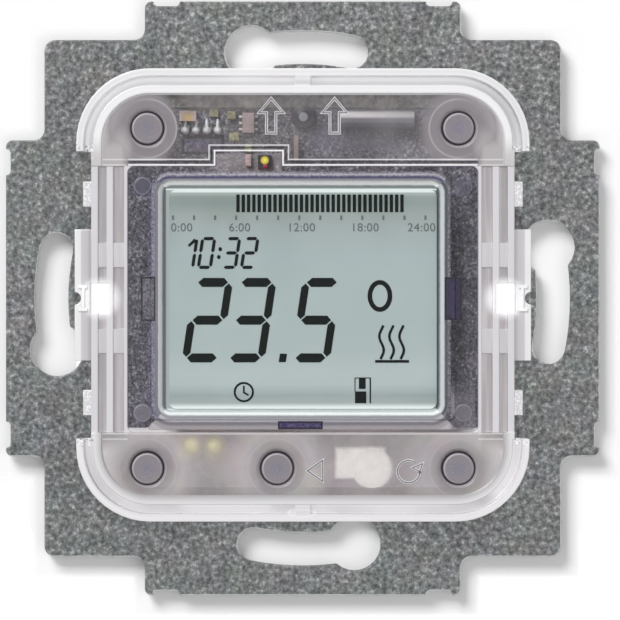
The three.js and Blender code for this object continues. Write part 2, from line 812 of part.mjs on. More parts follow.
// The slot that a contact bar drops into, open at the top of the block.
function barSlot(x) {
  const bottom = terminalLevel;
  const top = blockTop + past;
  const width = barWidth + 2 * cutGap;
  return block(width, top - bottom, powerBoardBack - past, barBack + cutGap, x, (top + bottom) / 2);
}

function terminalBlock() {
  const width = terminalCount * terminalPitch + 2 * terminalEndWall;
  const middle = (blockBottom + blockTop) / 2;
  const body = block(width, terminalBlockHeight, powerBoardBack, blockBack, 0, middle);
  const pockets = terminalColumns().flatMap((x) => [
    block(2 * pocketHalf, pocketLength, pocketFront, pocketBack, x, terminalLevel),
    rod(clampScrewDiameter + 2 * cutGap, pocketBack - past, shoulderBack + past, x, terminalLevel),
    rod(clampHeadDiameter + 2 * cutGap, shoulderBack, blockBack + past, x, terminalLevel),
    wireHole(x, blockBottom - past, terminalLevel),
    barSlot(x),
  ]);
  return cut(body, ...pockets).intersect(bay(-housingWall - seatGap, powerBoardLevel, housingDepth));
}

// The parts of one terminal are made round the axis of its screw.
function terminalScrew() {
  const shank = rod(clampScrewDiameter, screwTip, headFront + screwSlotDepth / 2);
  const head = rod(clampHeadDiameter, headFront, headBack);
  const length = clampHeadDiameter + past;
  const slot = block(length, screwSlotWidth, headBack - screwSlotDepth, headBack + past);
  return cut(join(shank, head), slot);
}

function terminalCage() {
  const body = block(2 * cageHalf, cageLength, cageFront, cageBack);
  const window = block(2 * cageWindowHalf, cageLength + past, cageWindowFront, cageWindowBack);
  const thread = rod(clampScrewDiameter + 2 * cutGap, cageWindowBack - past, cageBack + past);
  return cut(body, window, thread);
}

function contactBar() {
  const low = barThickness / 2 - cageLength / 2;
  const high = pocketLength / 2 + barThickness + cutGap;
  const tongue = block(barWidth, high - low, barFront, barBack, 0, (high + low) / 2);
  const leg = block(barWidth, barThickness, powerBoardBack, barBack, 0, high - barThickness / 2);
  return join(tongue, leg);
}

function housingScrew() {
  const end = earThickness + screwHeadHeight;
  const shank = rod(screwDiameter, plateFront - screwReach, earThickness + screwHeadHeight / 4);
  const head = rod(screwHeadDiameter, earThickness, end);
  const across = block(screwCrossLength, screwSlotWidth, end - screwSlotDepth, end + past);
  const down = block(screwSlotWidth, screwCrossLength, end - screwSlotDepth, end + past);
  return cut(join(shank, head), across, down);
}

const casing = subgroup();
add(casing, "mounting_plate", mountingPlate(), 0x7d8080, 0.45, 0.9);
add(casing, "front_cover", frontCover(), 0xdcdadb, 0.3);
add(casing, "rear_housing", rearHousing(), 0xd8d6d0, 0.6);

const display = subgroup();
const rearGlassHeight = lcdHeight - 2 * lcdLedge;
add(display, "display_frame", displayFrame(), 0xa9a9b2, 0.25);
add(display, "lcd_front_polarizer", frontPolarizer(), 0xa8b5b5, 0.3);
add(display, "lcd_front_glass", lcdPane(lcdHeight, glassFront, lcdGlassThickness), 0xb4c0c0, 0.1);
add(display, "lcd_rear_glass", lcdPane(rearGlassHeight, ledgeBack, lcdGlassThickness), 0xb4c0c0, 0.1);
add(display, "lcd_reflector", lcdPane(rearGlassHeight, rearGlassBack, reflectorThickness), 0xb9c2c0, 0.5);
add(display, "contact_strip_top", contactStrip(1), 0xc9a9a0, 0.8);
add(display, "contact_strip_bottom", contactStrip(-1), 0xc9a9a0, 0.8);

const frontBoard = subgroup();
const controllerFront = boardFront - controllerHeight;
const controller = block(controllerSize, controllerSize, controllerFront, boardFront, ...controllerPlace);
add(frontBoard, "display_board", displayBoard(), 0x5f5f6a, 0.5);
add(frontBoard, "microcontroller", controller, 0x1f1f21, 0.6);
add(frontBoard, "crystal", crystal(), 0xb8b8ba, 0.3, 1);
add(frontBoard, "backup_capacitor", backupCapacitor(), 0xcfccc8, 0.4);
add(frontBoard, "temperature_sensor", temperatureSensor(), 0xd9cf9a, 0.5);
add(frontBoard, "status_led", statusLed(), 0xd8c85a, 0.3);
add(frontBoard, "chip_capacitor", chipCapacitor(), 0xb98a5e, 0.6);
add(frontBoard, "header_pins", headerBar(), 0xc8c4b8, 0.4, 0.6);

for (const [name, [x, z]] of Object.entries(buttons)) {
  const button = subgroup();
  button.position.set(x, 0, z);
  add(button, `${name}_button`, buttonCap(), 0x8f8a91, 0.5);
  add(button, `${name}_switch_stem`, switchStem(), 0xe4e2dc, 0.5);
  add(button, `${name}_switch`, switchBody(), 0x2a2a2c, 0.6);
}

const rearBoard = subgroup();
add(rearBoard, "power_board", powerBoard(), 0x3f6b4a, 0.5);
add(rearBoard, "header_socket", headerSocket(), 0x1f1f21, 0.6);
add(rearBoard, "relay", relay(), 0x222a3a, 0.5);
add(rearBoard, "film_capacitor", filmCapacitor(), 0xb3a13a, 0.5);
add(rearBoard, "electrolytic_capacitor", electrolyticCapacitor(), 0x2b2f45, 0.4);
add(rearBoard, "varistor", varistor(), 0x3a6aa0, 0.5);
add(rearBoard, "fuse", fuse(), 0x6b2d25, 0.5);

const terminals = subgroup();
add(terminals, "terminal_block", terminalBlock(), 0x3b3d40, 0.6);
terminalColumns().forEach((x, i) => {
  const place = [x, 0, terminalLevel];
  add(terminals, `terminal_screw_${i + 1}`, terminalScrew(), 0xc7c4b6, 0.35, 1, place);
  add(terminals, `terminal_cage_${i + 1}`, terminalCage(), 0xc9c9c7, 0.35, 1, place);
  add(terminals, `contact_bar_${i + 1}`, contactBar(), 0xb87a4b, 0.35, 1, place);
});

const screws = subgroup();
corners.forEach(([x, z], i) => {
  const place = [x * screwColumn, 0, z * screwRow];
  add(screws, `housing_screw_${i + 1}`, housingScrew(), 0xb9b9b5, 0.35, 1, place);
});

export default thermostat;
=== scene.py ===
import json
import math
from types import SimpleNamespace

import bmesh
import bpy
import numpy as np
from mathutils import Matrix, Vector


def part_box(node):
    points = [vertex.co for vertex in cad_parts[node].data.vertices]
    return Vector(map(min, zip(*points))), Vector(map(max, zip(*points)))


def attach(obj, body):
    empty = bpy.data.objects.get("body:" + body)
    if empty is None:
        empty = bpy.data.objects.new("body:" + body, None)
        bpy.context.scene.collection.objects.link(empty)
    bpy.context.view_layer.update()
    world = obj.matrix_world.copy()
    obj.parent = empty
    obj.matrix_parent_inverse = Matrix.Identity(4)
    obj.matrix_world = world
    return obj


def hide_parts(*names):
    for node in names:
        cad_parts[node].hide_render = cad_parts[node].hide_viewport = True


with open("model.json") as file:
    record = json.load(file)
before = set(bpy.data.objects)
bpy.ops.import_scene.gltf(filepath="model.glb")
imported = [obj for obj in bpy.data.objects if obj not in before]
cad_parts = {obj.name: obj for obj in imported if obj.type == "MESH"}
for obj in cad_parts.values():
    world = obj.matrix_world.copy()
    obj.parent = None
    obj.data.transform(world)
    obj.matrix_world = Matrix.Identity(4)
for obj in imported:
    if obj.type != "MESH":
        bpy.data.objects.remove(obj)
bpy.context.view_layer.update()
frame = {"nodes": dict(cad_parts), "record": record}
bodyOf = {
    node: body
    for body, nodes in frame["record"]["behaviour"]["bodies"].items()
    for node in nodes
}
print("frame loaded:", len(frame["nodes"]), "nodes")

# Lengths are in millimetres in this script, and go to metres where a mesh is made.
mm = 0.001

# Edges of new pieces that turn by more than this, in degrees, are shaded sharp.
sharpAngle = 40


# The lowest and highest corners of a node, in millimetres.
def corners(node):
    low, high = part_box(node)
    return np.array(low) / mm, np.array(high) / mm


# A colour as it shows on a screen, 0 to 255, as the linear colour that a shader reads:
# value = ((c + 0.055) / 1.055) ^ 2.4, and c / 12.92 near black.
def paint(red, green, blue):
    shares = [channel / 255 for channel in (red, green, blue)]
    linear = [s / 12.92 if s <= 0.04045 else ((s + 0.055) / 1.055) ** 2.4 for s in shares]
    return (*linear, 1.0)


# The middle of a node across X and Z.
def middleOf(node):
    low, high = corners(node)
    return (low[0] + high[0]) / 2, (low[2] + high[2]) / 2


# The display and the window in front of it have their middle a little below the plate's.
displayLevel = -0.12


# A tone made lighter or darker: each channel is (c + step) * times, and 255 at most.
def toned(tone, step=0, times=1.0):
    return tuple(min((channel + step) * times, 255) for channel in tone)


# The length of a vector in the plane: (a^2 + b^2) ^ 0.5.
def length(first, second):
    return (first * first + second * second) ** 0.5


# A socket that Python's operators work on. Each one adds its Math node.
class Signal:
    def __init__(self, finish, socket):
        self.finish, self.socket = finish, socket

    def maths(self, operation, *values):
        return self.finish.node("ShaderNodeMath", {"operation": operation}, dict(enumerate(values)))

    def __add__(self, other):
        return self.maths("ADD", self, other)

    def __sub__(self, other):
        return self.maths("SUBTRACT", self, other)

    def __rsub__(self, other):
        return self.maths("SUBTRACT", other, self)

    def __mul__(self, other):
        return self.maths("MULTIPLY", self, other)

    def __truediv__(self, other):
        return self.maths("DIVIDE", self, other)

    def __pow__(self, other):
        return self.maths("POWER", self, other)

    def __neg__(self):
        return self.maths("MULTIPLY", self, -1.0)

    def __abs__(self):
        return self.maths("ABSOLUTE", self)

    __radd__, __rmul__ = __add__, __mul__

    def least(self, other):
        return self.maths("MINIMUM", self, other)

    def most(self, other):
        return self.maths("MAXIMUM", self, other)

    # 0 below start, 1 above end and a smooth step between them.
    def rise(self, start, end):
        settings = {"interpolation_type": "SMOOTHSTEP"}
        values = {"Value": self, "From Min": start, "From Max": end}
        return self.finish.node("ShaderNodeMapRange", settings, values)

    # The other way round: 1 below start and 0 above end.
    def fall(self, start, end):
        return 1 - self.rise(start, end)

    # Distance to the nearest of evenly spaced lines, one of them at start.
    def toLine(self, pitch, start=0.0):
        return abs(self.maths("WRAP", self - start, pitch / 2, -pitch / 2))

    # 1 between low and high, 0 outside, over a soft edge.
    def between(self, low, high, soft=0.1):
        return self.rise(low - soft, low + soft) * self.fall(high - soft, high + soft)


# A material with its Principled shader, and the one method that adds any node.
class Finish:
    def __init__(self, name, roughness=0.5, metallic=0.0, **constants):
        self.material = bpy.data.materials.new(name)
        self.material.use_nodes = True
        self.tree = self.material.node_tree
        self.tree.nodes.clear()
        self.output = self.tree.nodes.new("ShaderNodeOutputMaterial")
        self.shader = self.tree.nodes.new("ShaderNodeBsdfPrincipled")
        self.tree.links.new(self.shader.outputs[0], self.output.inputs["Surface"])
        self.set("Roughness", roughness)
        self.set("Metallic", metallic)
        for socket, value in constants.items():
            self.set(socket.replace("_", " "), value)
        place = self.node("ShaderNodeTexCoord", output="Object")
        scaled = self.node("ShaderNodeVectorMath", {"operation": "SCALE"}, {0: place, "Scale": 1 / mm})
        self.place = scaled
        self.x, self.y, self.z = [
            self.node("ShaderNodeSeparateXYZ", {}, {0: scaled}, output=axis) for axis in range(3)
        ]
        normal = self.node("ShaderNodeTexCoord", output="Normal")
        self.normalX, self.normalY, self.normalZ = [
            self.node("ShaderNodeSeparateXYZ", {}, {0: normal}, output=axis) for axis in range(3)
        ]

    # A tone of three screen values goes in as its linear colour.
    def plug(self, socket, value):
        if isinstance(value, Signal):
            self.tree.links.new(value.socket, socket)
        elif socket.type == "RGBA" and len(value) == 3:
            socket.default_value = paint(*value)
        else:
            socket.default_value = value

    # Settings are set first, then the values or links of the sockets.
    def node(self, kind, settings=None, sockets=None, output=0):
        made = self.tree.nodes.new(kind)
        for setting, value in (settings or {}).items():
            if setting == "stops":
                self.stops(made.color_ramp, value)
            else:
                setattr(made, setting, value)
        for socket, value in (sockets or {}).items():
            self.plug(made.inputs[socket], value)
        return Signal(self, made.outputs[output])

    def stops(self, ramp, stops):
        while len(ramp.elements) < len(stops):
            ramp.elements.new(1.0)
        for element, (position, tone) in zip(ramp.elements, stops):
            element.position, element.color = position, paint(*tone)

    def set(self, socket, value):
        self.plug(self.shader.inputs[socket], value)

    # Lays a colour over the base colour that the finish has so far.
    def over(self, share, colour, blend="MIX"):
        self.colour = self.mix(share, self.colour, colour, blend)
        self.set("Base Color", self.colour)

    def mix(self, share, first, second, blend="MIX"):
        settings = {"data_type": "RGBA", "blend_type": blend, "clamp_factor": True}
        return self.node("ShaderNodeMix", settings, {0: share, 6: first, 7: second}, output=2)

    # Noise with its scale in turns per millimetre.
    def noise(self, scale, detail=2, rough=0.5, output=0, stretch=None):
        spot = self.place
        if stretch:
            spot = self.node("ShaderNodeMapping", {}, {"Vector": spot, "Scale": stretch})
        sockets = {"Vector": spot, "Scale": scale, "Detail": detail, "Roughness": rough}
        return self.node("ShaderNodeTexNoise", {}, sockets, output=output)

    # Tones at given positions, each as (position, tone), with a straight run between them.
    def ramp(self, value, stops):
        return self.node("ShaderNodeValToRGB", {"stops": stops}, {0: value})

    def bump(self, height, strength, depth):
        sockets = {"Height": height, "Strength": strength, "Distance": depth * mm}
        self.set("Normal", self.node("ShaderNodeBump", {}, sockets))


# The piece gets its finish, and goes with a CAD node's body.
def rideAndSlot(piece, node, finish):
    piece.data.materials.clear()
    piece.data.materials.append(finish.material)
    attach(piece, bodyOf[node])


# Joins points that lie on each other, such as those of a pole, and fills small holes.
def sewn(mesh, reach):
    shape = bmesh.new()
    shape.from_mesh(mesh)
    bmesh.ops.remove_doubles(shape, verts=shape.verts, dist=reach * mm)
    rims = [edge for edge in shape.edges if edge.is_boundary]
    bmesh.ops.holes_fill(shape, edges=rims, sides=12)
    shape.to_mesh(mesh)
    shape.free()


# Points in millimetres and faces as rows of indices become a mesh in metres.
def meshOf(name, points, faces):
    mesh = bpy.data.meshes.new(name)
    mesh.from_pydata((np.asarray(points) * mm).tolist(), [], [list(map(int, face)) for face in faces])
    return mesh


# Data such as a mesh, a lamp or a camera becomes an object of the scene, at the origin.
def placed(name, data):
    made = bpy.data.objects.new(name, data)
    bpy.context.collection.objects.link(made)
    return made


# A new piece from points in millimetres and faces, with a finish, on the body of a CAD node.
def piece(name, points, faces, node, finish, replaces=()):
    mesh = meshOf(name, points, faces)
    mesh.validate()
    sewn(mesh, 0.0005)
    made = placed(name, mesh)
    mesh.shade_smooth()
    mesh.set_sharp_from_angle(angle=math.radians(sharpAngle))
    rideAndSlot(made, node, finish)
    if replaces:
        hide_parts(*replaces)
    return made


# Quads between the rows and columns of a grid of points, joined round where it closes.
def gridFaces(rows, columns, closeRows=False, closeColumns=False):
    i = np.arange(rows if closeRows else rows - 1)[:, None]
    j = np.arange(columns if closeColumns else columns - 1)[None, :]
    nextI, nextJ = (i + 1) % rows, (j + 1) % columns
    quad = [i * columns + j, i * columns + nextJ, nextI * columns + nextJ, nextI * columns + j]
    return np.stack(np.broadcast_arrays(*quad), axis=-1).reshape(-1, 4)


# A grid of points from its coordinates, each a number, a row, a column or a whole grid.
def pointsOf(x, y, z):
    return np.stack(np.broadcast_arrays(x, y, z), axis=-1).reshape(-1, 3)


# A profile of (radius, y) carried round an axis along Y: x = cx + r sin t, z = cz + r cos t.
def turned(profile, cx, cz, count=64):
    radius, level = np.array(profile, float).T
    turn = np.linspace(0, 2 * math.pi, count, endpoint=False)[None, :]
    x = cx + radius[:, None] * np.sin(turn)
    z = cz + radius[:, None] * np.cos(turn)
    return pointsOf(x, level[:, None], z), gridFaces(len(profile), count, closeColumns=True)


# A surface through a row of rounded rectangles, each (half width, half height, corner radius, y),
# joined from one to the next: corner = centre + (w - r, h - r), point = corner + r (cos t, sin t).
# The centre may be one for all the rows or a column with one for each.
def loops(rows, cx=0.0, cz=0.0, steps=8, closed=True):
    turn = (np.linspace(0, math.pi / 2, steps)[None, :] + np.arange(4)[:, None] * math.pi / 2).reshape(-1)
    signX, signZ = np.repeat([1, -1, -1, 1], steps), np.repeat([1, 1, -1, -1], steps)
    w, h, r, level = [np.array(column, float)[:, None] for column in zip(*rows)]
    cx, cz = [np.asarray(centre, float).reshape(-1, 1) for centre in (cx, cz)]
    x = cx + signX * (w - r) + r * np.cos(turn)
    z = cz + signZ * (h - r) + r * np.sin(turn)
    faces = gridFaces(len(rows), 4 * steps, closeRows=closed, closeColumns=True)
    return pointsOf(x, level, z), faces


# A small block that stands on a board: straight sides, then a rounded top edge,
# inset = lip (1 - cos t) and fall = lip (1 - sin t), its top and its foot.
def smallBlock(cx, cz, halfWidth, halfHeight, corner, front, back, lip=0.12):
    t = np.linspace(0, math.pi / 2, 5)
    inward, fall = lip * (1 - np.cos(t)), lip * (1 - np.sin(t))
    rows = [(halfWidth, halfHeight, corner, back)]
    for a, b in zip(inward, fall):
        rows.append((halfWidth - a, halfHeight - a, max(corner - a, 0.01), front + b))
    points, faces = loops(rows, cx, cz, steps=5, closed=False)
    ring = np.arange(20)
    return points, faces.tolist() + [(len(points) - 20 + ring).tolist(), ring[::-1].tolist()]


# A low dome, drawn out along Z: x = cx + w cos t sin s, z = cz + h sin t sin s, y = back - rise cos s.
def dome(cx, cz, halfWidth, halfHeight, front, back, count=20):
    s = np.linspace(math.pi / 2, 0.05, 6)[:, None]
    t = np.linspace(0, 2 * math.pi, count, endpoint=False)[None, :]
    x = cx + halfWidth * np.cos(t) * np.sin(s)
    z = cz + halfHeight * np.sin(t) * np.sin(s)
    ring = np.arange(count)
    faces = gridFaces(6, count, closeColumns=True).tolist()
    faces += [(5 * count + ring).tolist(), ring[::-1].tolist()]
    return pointsOf(x, back - (back - front) * np.cos(s), z), faces


# A flat ribbon along a path in X and Z, with its own half width at each point and mitred joints:
# edges = path ± half width * normal / cos(half the turn). It has a front and a back.
def ribbon(path, halfWidth, front, back, closed=False):
    path = np.array(path, float)
    half = np.broadcast_to(np.asarray(halfWidth, float), len(path))
    if closed:
        before, after = path - np.roll(path, 1, 0), np.roll(path, -1, 0) - path
    else:
        step = np.diff(path, axis=0)
        before, after = np.vstack([step[:1], step]), np.vstack([step, step[-1:]])
    before = before / np.maximum(np.linalg.norm(before, axis=1, keepdims=True), 1e-9)
    after = after / np.maximum(np.linalg.norm(after, axis=1, keepdims=True), 1e-9)
    along = before + after
    along = along / np.maximum(np.linalg.norm(along, axis=1, keepdims=True), 1e-9)
    normal = np.stack([along[:, 1], -along[:, 0]], axis=-1)
    mitre = 1 / np.maximum(np.abs((along * after).sum(1)), 0.5)
    shift = normal * (half * mitre)[:, None]
    edges = np.stack([path + shift, path - shift, path - shift, path + shift], axis=1)
    points = pointsOf(edges[..., 0], [front, front, back, back], edges[..., 1])
    faces = gridFaces(len(path), 4, closeRows=closed, closeColumns=True)[:, ::-1].tolist()
    if not closed:
        last = 4 * (len(path) - 1)
        faces += [[3, 2, 1, 0], [last, last + 1, last + 2, last + 3]]
    return points, faces


# Several meshes as one.
def together(*meshes):
    points, faces, start = [], [], 0
    for some, rows in meshes:
        points.append(np.asarray(some))
        faces += [[int(i) + start for i in row] for row in rows]
        start += len(some)
    return np.vstack(points), faces


# Faces of a softened piece are shaded flat when they are larger than the first of these, in square
# millimetres, or larger than the second and square to an axis.
flatArea, flatSquareArea = 20, 0.5


# The mesh that an object's modifiers make, its points kept inside the node's own box.
def settled(made, node):
    graph = bpy.context.evaluated_depsgraph_get()
    mesh = bpy.data.meshes.new_from_object(made.evaluated_get(graph))
    places = np.empty(3 * len(mesh.vertices))
    mesh.vertices.foreach_get("co", places)
    low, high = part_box(node)
    mesh.vertices.foreach_set("co", np.clip(places.reshape(-1, 3), low, high).ravel())
    mesh.update()
    return mesh


# A merged copy of a CAD node, its flat faces joined, with its sharp edges rounded. What carve
# holds, as points and faces, is cut out of it afterwards.
def softened(node, finish, width, segments=2, angle=35, mitre="MITER_ARC", carve=None):
    source = frame["nodes"][node].data
    shape = bmesh.new()
    shape.from_mesh(source)
    bmesh.ops.remove_doubles(shape, verts=shape.verts, dist=0.002 * mm)
    bmesh.ops.dissolve_limit(shape, angle_limit=math.radians(0.6), verts=shape.verts, edges=shape.edges)
    mesh = bpy.data.meshes.new(node + "_softened")
    shape.to_mesh(mesh)
    shape.free()
    made = placed(node + "_softened", mesh)
    bevel = made.modifiers.new("edges", "BEVEL")
    bevel.width = width * mm
    bevel.segments = segments
    bevel.limit_method = "ANGLE"
    bevel.angle_limit = math.radians(angle)
    bevel.use_clamp_overlap = False
    bevel.miter_outer = mitre
    if carve:
        tool = placed("carving", meshOf("carving", *carve))
        sunk = made.modifiers.new("carving", "BOOLEAN")
        sunk.operation, sunk.solver, sunk.object = "DIFFERENCE", "EXACT", tool
    mesh = settled(made, node)
    made.modifiers.clear()
    made.data = mesh
    if carve:
        bpy.data.objects.remove(tool)
        sewn(mesh, 0.001)
    mesh.shade_smooth()
    mesh.set_sharp_from_angle(angle=math.radians(angle))
    areas, normals = np.empty(len(mesh.polygons)), np.empty(3 * len(mesh.polygons))
    mesh.polygons.foreach_get("area", areas)
    mesh.polygons.foreach_get("normal", normals)
    square = np.abs(normals.reshape(-1, 3)).max(axis=1) > 0.99999
    flat = (areas > flatArea * mm * mm) | (square & (areas > flatSquareArea * mm * mm))
    mesh.polygons.foreach_set("use_smooth", ~flat)
    level = made.modifiers.new("flat faces stay flat", "WEIGHTED_NORMAL")
    level.weight, level.keep_sharp = 80, True
    rideAndSlot(made, node, finish)
    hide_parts(node)
    return made


# Gives a CAD node that keeps its shape its finish.
def finishNode(node, finish):
    for place in frame["nodes"][node].material_slots:
        place.material = finish.material


# Each lamp has its place, its size and its power in watts.
studio = {
    "cameraPlace": (0.84, -801.2, -1.38),
    "lens": 388.6,
    "key": ((-690, -1145, 985), 740, 20.6),
    "fill": ((420, -800, -300), 700, 1.3),
    "back": ((300, 900, 500), 700, 5.0),
    "surround": 0.40,
    "wallGap": 1.0,
    "wallMiddle": (0.45, -0.6),
    "wallReach": 39.5,
    "wallShapes": [(18.9, 35.5), (35.5, 18.9), (30.9, 30.9)],
    "wallCore": (27.2, 26.2),
    "wallGlow": 0.02,
    "floorDrop": 160,
    "floorGlow": 0.45,
    "floorReach": 4000,
}


# A long lens, straight in front.
def camera():
    made = placed("camera", bpy.data.cameras.new("camera"))
    made.location = Vector(studio["cameraPlace"]) * mm
    made.rotation_euler = (math.pi / 2, 0, 0)
    made.data.sensor_width = 36
    made.data.lens = studio["lens"]
    made.data.clip_start, made.data.clip_end = 0.01, 20
    bpy.context.scene.camera = made


# A square lamp that faces the middle of the object.
def lamp(name, place, size, power):
    made = placed(name, bpy.data.lights.new(name, "AREA"))
    made.data.shape, made.data.size, made.data.energy = "SQUARE", size * mm, power
    made.location = Vector(place) * mm
    made.rotation_euler = (-Vector(place)).to_track_quat("-Z", "Y").to_euler()


# White to the eye and in reflections, dimmer as light.
def surroundings():
    world = bpy.data.worlds.new("surroundings")
    world.use_nodes = True
    bpy.context.scene.world = world
    tree = world.node_tree
    path = tree.nodes.new("ShaderNodeLightPath")
    seen = path.outputs["Is Camera Ray"]
    for ray in ("Is Glossy Ray", "Is Transmission Ray"):
        either = tree.nodes.new("ShaderNodeMath")
        either.operation, either.use_clamp = "ADD", True
        tree.links.new(seen, either.inputs[0])
        tree.links.new(path.outputs[ray], either.inputs[1])
        seen = either.outputs[0]
    strength = tree.nodes.new("ShaderNodeMapRange")
    strength.inputs["To Min"].default_value = studio["surround"]
    strength.inputs["To Max"].default_value = 1.0
    tree.links.new(seen, strength.inputs["Value"])
    back = tree.nodes["Background"]
    tree.links.new(strength.outputs[0], back.inputs["Strength"])
    back.inputs["Color"].default_value = (1, 1, 1, 1)


# A one-sided finish for the stage: its back lets everything through. To the eye it adds some white
# to what its colour gives, so that it is white where no shadow falls.
def stageFinish(name, colour):
    finish = Finish(name, roughness=1.0, Specular_IOR_Level=0.0)
    finish.set("Base Color", (*[colour] * 3, 1))
    finish.clear = finish.node("ShaderNodeBsdfTransparent")
    finish.behind = finish.node("ShaderNodeNewGeometry", output="Backfacing")
    return finish


# Adds light of its own that only the eye sees.
def closeGlow(finish, glow):
    seen = finish.node("ShaderNodeLightPath", output="Is Camera Ray")
    light = finish.node("ShaderNodeEmission", {}, {"Strength": seen * glow})
    shaded = Signal(finish, finish.shader.outputs[0])
    finish.front = finish.node("ShaderNodeAddShader", {}, {0: shaded, 1: light})


# Where hidden is 1 the sheet is clear.
def closeStage(finish, hidden):
    shown = finish.node("ShaderNodeMixShader", {}, {0: hidden, 1: finish.front, 2: finish.clear})
    finish.tree.links.new(shown.socket, finish.output.inputs["Surface"])
    return finish.material


# A square sheet, standing or lying, as a grid of 9 by 9 points from -reach to reach.
def sheetPiece(name, reach, level, standing, material):
    share = np.linspace(-reach, reach, 9)
    across, along = share, share[:, None]
    points = pointsOf(across, level, along) if standing else pointsOf(across, along, level)
    mesh = meshOf(name, points, gridFaces(9, 9))
    mesh.materials.append(material)
    return placed(name, mesh)


# A small sheet of wall behind the plate takes its shadow. It shows in the slots and just outside
# the lower and right edges, and fades out before it could hide the housing from the side.
def stage():
    wall = stageFinish("wall_paint", 0.98)
    closeGlow(wall, studio["wallGlow"])
    mx, mz = studio["wallMiddle"]
    x, z = abs(wall.x - mx), abs(wall.z - mz)
    outside = 100.0
    for halfWidth, halfHeight in studio["wallShapes"]:
        outside = (x - halfWidth).most(z - halfHeight).least(outside)
    halfWidth, halfHeight = studio["wallCore"]
    core = (abs(wall.x) - halfWidth).most(abs(wall.z) - halfHeight)
    shown = outside.fall(1.3, 2.6) * core.rise(-0.1, 0.1)
    material = closeStage(wall, (1 - shown).most(wall.behind))
    sheet = sheetPiece("wall_sheet", studio["wallReach"], studio["wallGap"], True, material)
    ground = stageFinish("floor_paint", 0.8)
    far = length(ground.x, ground.y)
    closeGlow(ground, studio["floorGlow"] + 0.3 * far.rise(300, 1500))
    material = closeStage(ground, ground.behind)
    floor = sheetPiece("floor", studio["floorReach"], -studio["floorDrop"], False, material)
    for surface in (sheet, floor):
        surface.visible_diffuse = surface.visible_glossy = surface.visible_transmission = False
        surface.visible_shadow = False


bpy.context.scene.view_settings.view_transform = "Standard"
camera()
for name in ("key", "fill", "back"):
    lamp(name, *studio[name])
surroundings()
stage()
print("studio set")


# Moulded plastic: tone between dark and light by slow and fine noise, which also turns roughness.
def satinPlastic(name, tone, roughness=0.45, grain=6.0, depth=0.01, spread=0.05, **constants):
    finish = Finish(name, roughness=roughness, **constants)
    fine = finish.noise(grain)
    slow = finish.noise(0.35)
    finish.colour, finish.fine = toned(tone, times=1 + spread), fine
    finish.over((slow * 0.6 + fine * 0.4).rise(0.35, 0.65), toned(tone, times=1 - spread))
    finish.set("Roughness", roughness - 0.06 + 0.12 * fine)
    finish.bump(fine, 0.2, depth)
    return finish


plate = {
    "edge": 0.16,
    "tone": (108, 110, 110),
    "dark": (50, 51, 54),
    "light": (184, 186, 187),
    "cutShade": (150, 151, 152),
    "cutEdgeAndHighlight": (240, 241, 242),
    "grain": 1.9,
    "fineGrain": 5.0,
    "metal": 0.35,
    "seal": 0.29,
    "sealLevels": (-1.22, -0.02),
    "boxRadius": 28.5,
    "foam": (72, 72, 75),
    "foamPore": (46, 46, 48),
}


# Zinc on steel: tone = ramp(0.78 noise + 0.22 finer noise), tinted by slow noise. The cut edge is
# bare steel, and a painted highlight makes it bright where it faces right or down:
# share = edge * (0.1 + 0.8 rise(nx - nz)).
def zincFinish(name, look):
    finish = Finish(name, metallic=look["metal"])
    coarse = finish.noise(look["grain"], 3, 0.6)
    fine = finish.noise(look["fineGrain"], 1)
    value = coarse * 0.78 + fine * 0.22
    stops = [
        (0.30, look["dark"]),
        (0.42, toned(look["tone"], -20)),
        (0.50, look["tone"]),
        (0.58, toned(look["tone"], 22)),
        (0.70, look["light"]),
    ]
    tint = finish.noise(0.28, output=1)
    colour = finish.mix(0.10, finish.ramp(value, stops), tint, "OVERLAY")
    # Painted highlight: the bare cut edge is made bright where it faces right or down.
    edge = abs(finish.normalY).fall(0.90, 0.985)
    facing = (finish.normalX - finish.normalZ).rise(-0.1, 0.4)
    shearedEdgeAndHighlight = finish.mix(finish.noise(1.2, stretch=(1, 9, 1)), look["cutShade"], look["cutEdgeAndHighlight"])
    finish.set("Base Color", finish.mix(edge * (0.10 + 0.80 * facing), colour, shearedEdgeAndHighlight))
    finish.set("Roughness", 0.42 + 0.22 * fine)
    finish.bump(value, 0.25, 0.06)
    return finish


zinc = zincFinish("galvanised_steel", plate)
softened("mounting_plate", zinc, plate["edge"], segments=2, angle=50, mitre="MITER_SHARP")


# Foamed rubber: dark grey, with pores where fine noise is high. Its darkness stands in for the
# shade in the gap round the housing.
def foamFinish():
    finish = Finish("gap_shade_foam", roughness=0.9, Specular_IOR_Level=0.2)
    pores = finish.noise(4.5, rough=0.6)
    finish.set("Base Color", finish.mix(pores.rise(0.4, 0.65), plate["foamPore"], plate["foam"]))
    finish.bump(pores, 0.5, 0.05)
    return finish


# The seal fills the gap between the housing and the plate and is dark, so that the gap shows as
# shade: a rounded rectangle, cut to the circle of the wall box: p = p * min(1, R / |p|).
def sealShape():
    w, h = corners("display_board")[1][[0, 2]]
    gap, box = plate["seal"], plate["boxRadius"]
    front, back = plate["sealLevels"]
    rows = [(w + g, h + g, 4.5 + g, y) for g, y in ((0.01, front), (gap, front), (gap, back), (0.01, back))]
    points, faces = loops(rows[::-1], steps=16)
    reach = np.repeat([box + 0.01, box + gap, box + gap, box + 0.01], 64)
    far = np.hypot(points[:, 0], points[:, 2])
    points[:, [0, 2]] *= np.minimum(1, reach / far)[:, None]
    return points, faces


piece("housing_seal", *sealShape(), "contact_strip_top", foamFinish())
print("plate made")


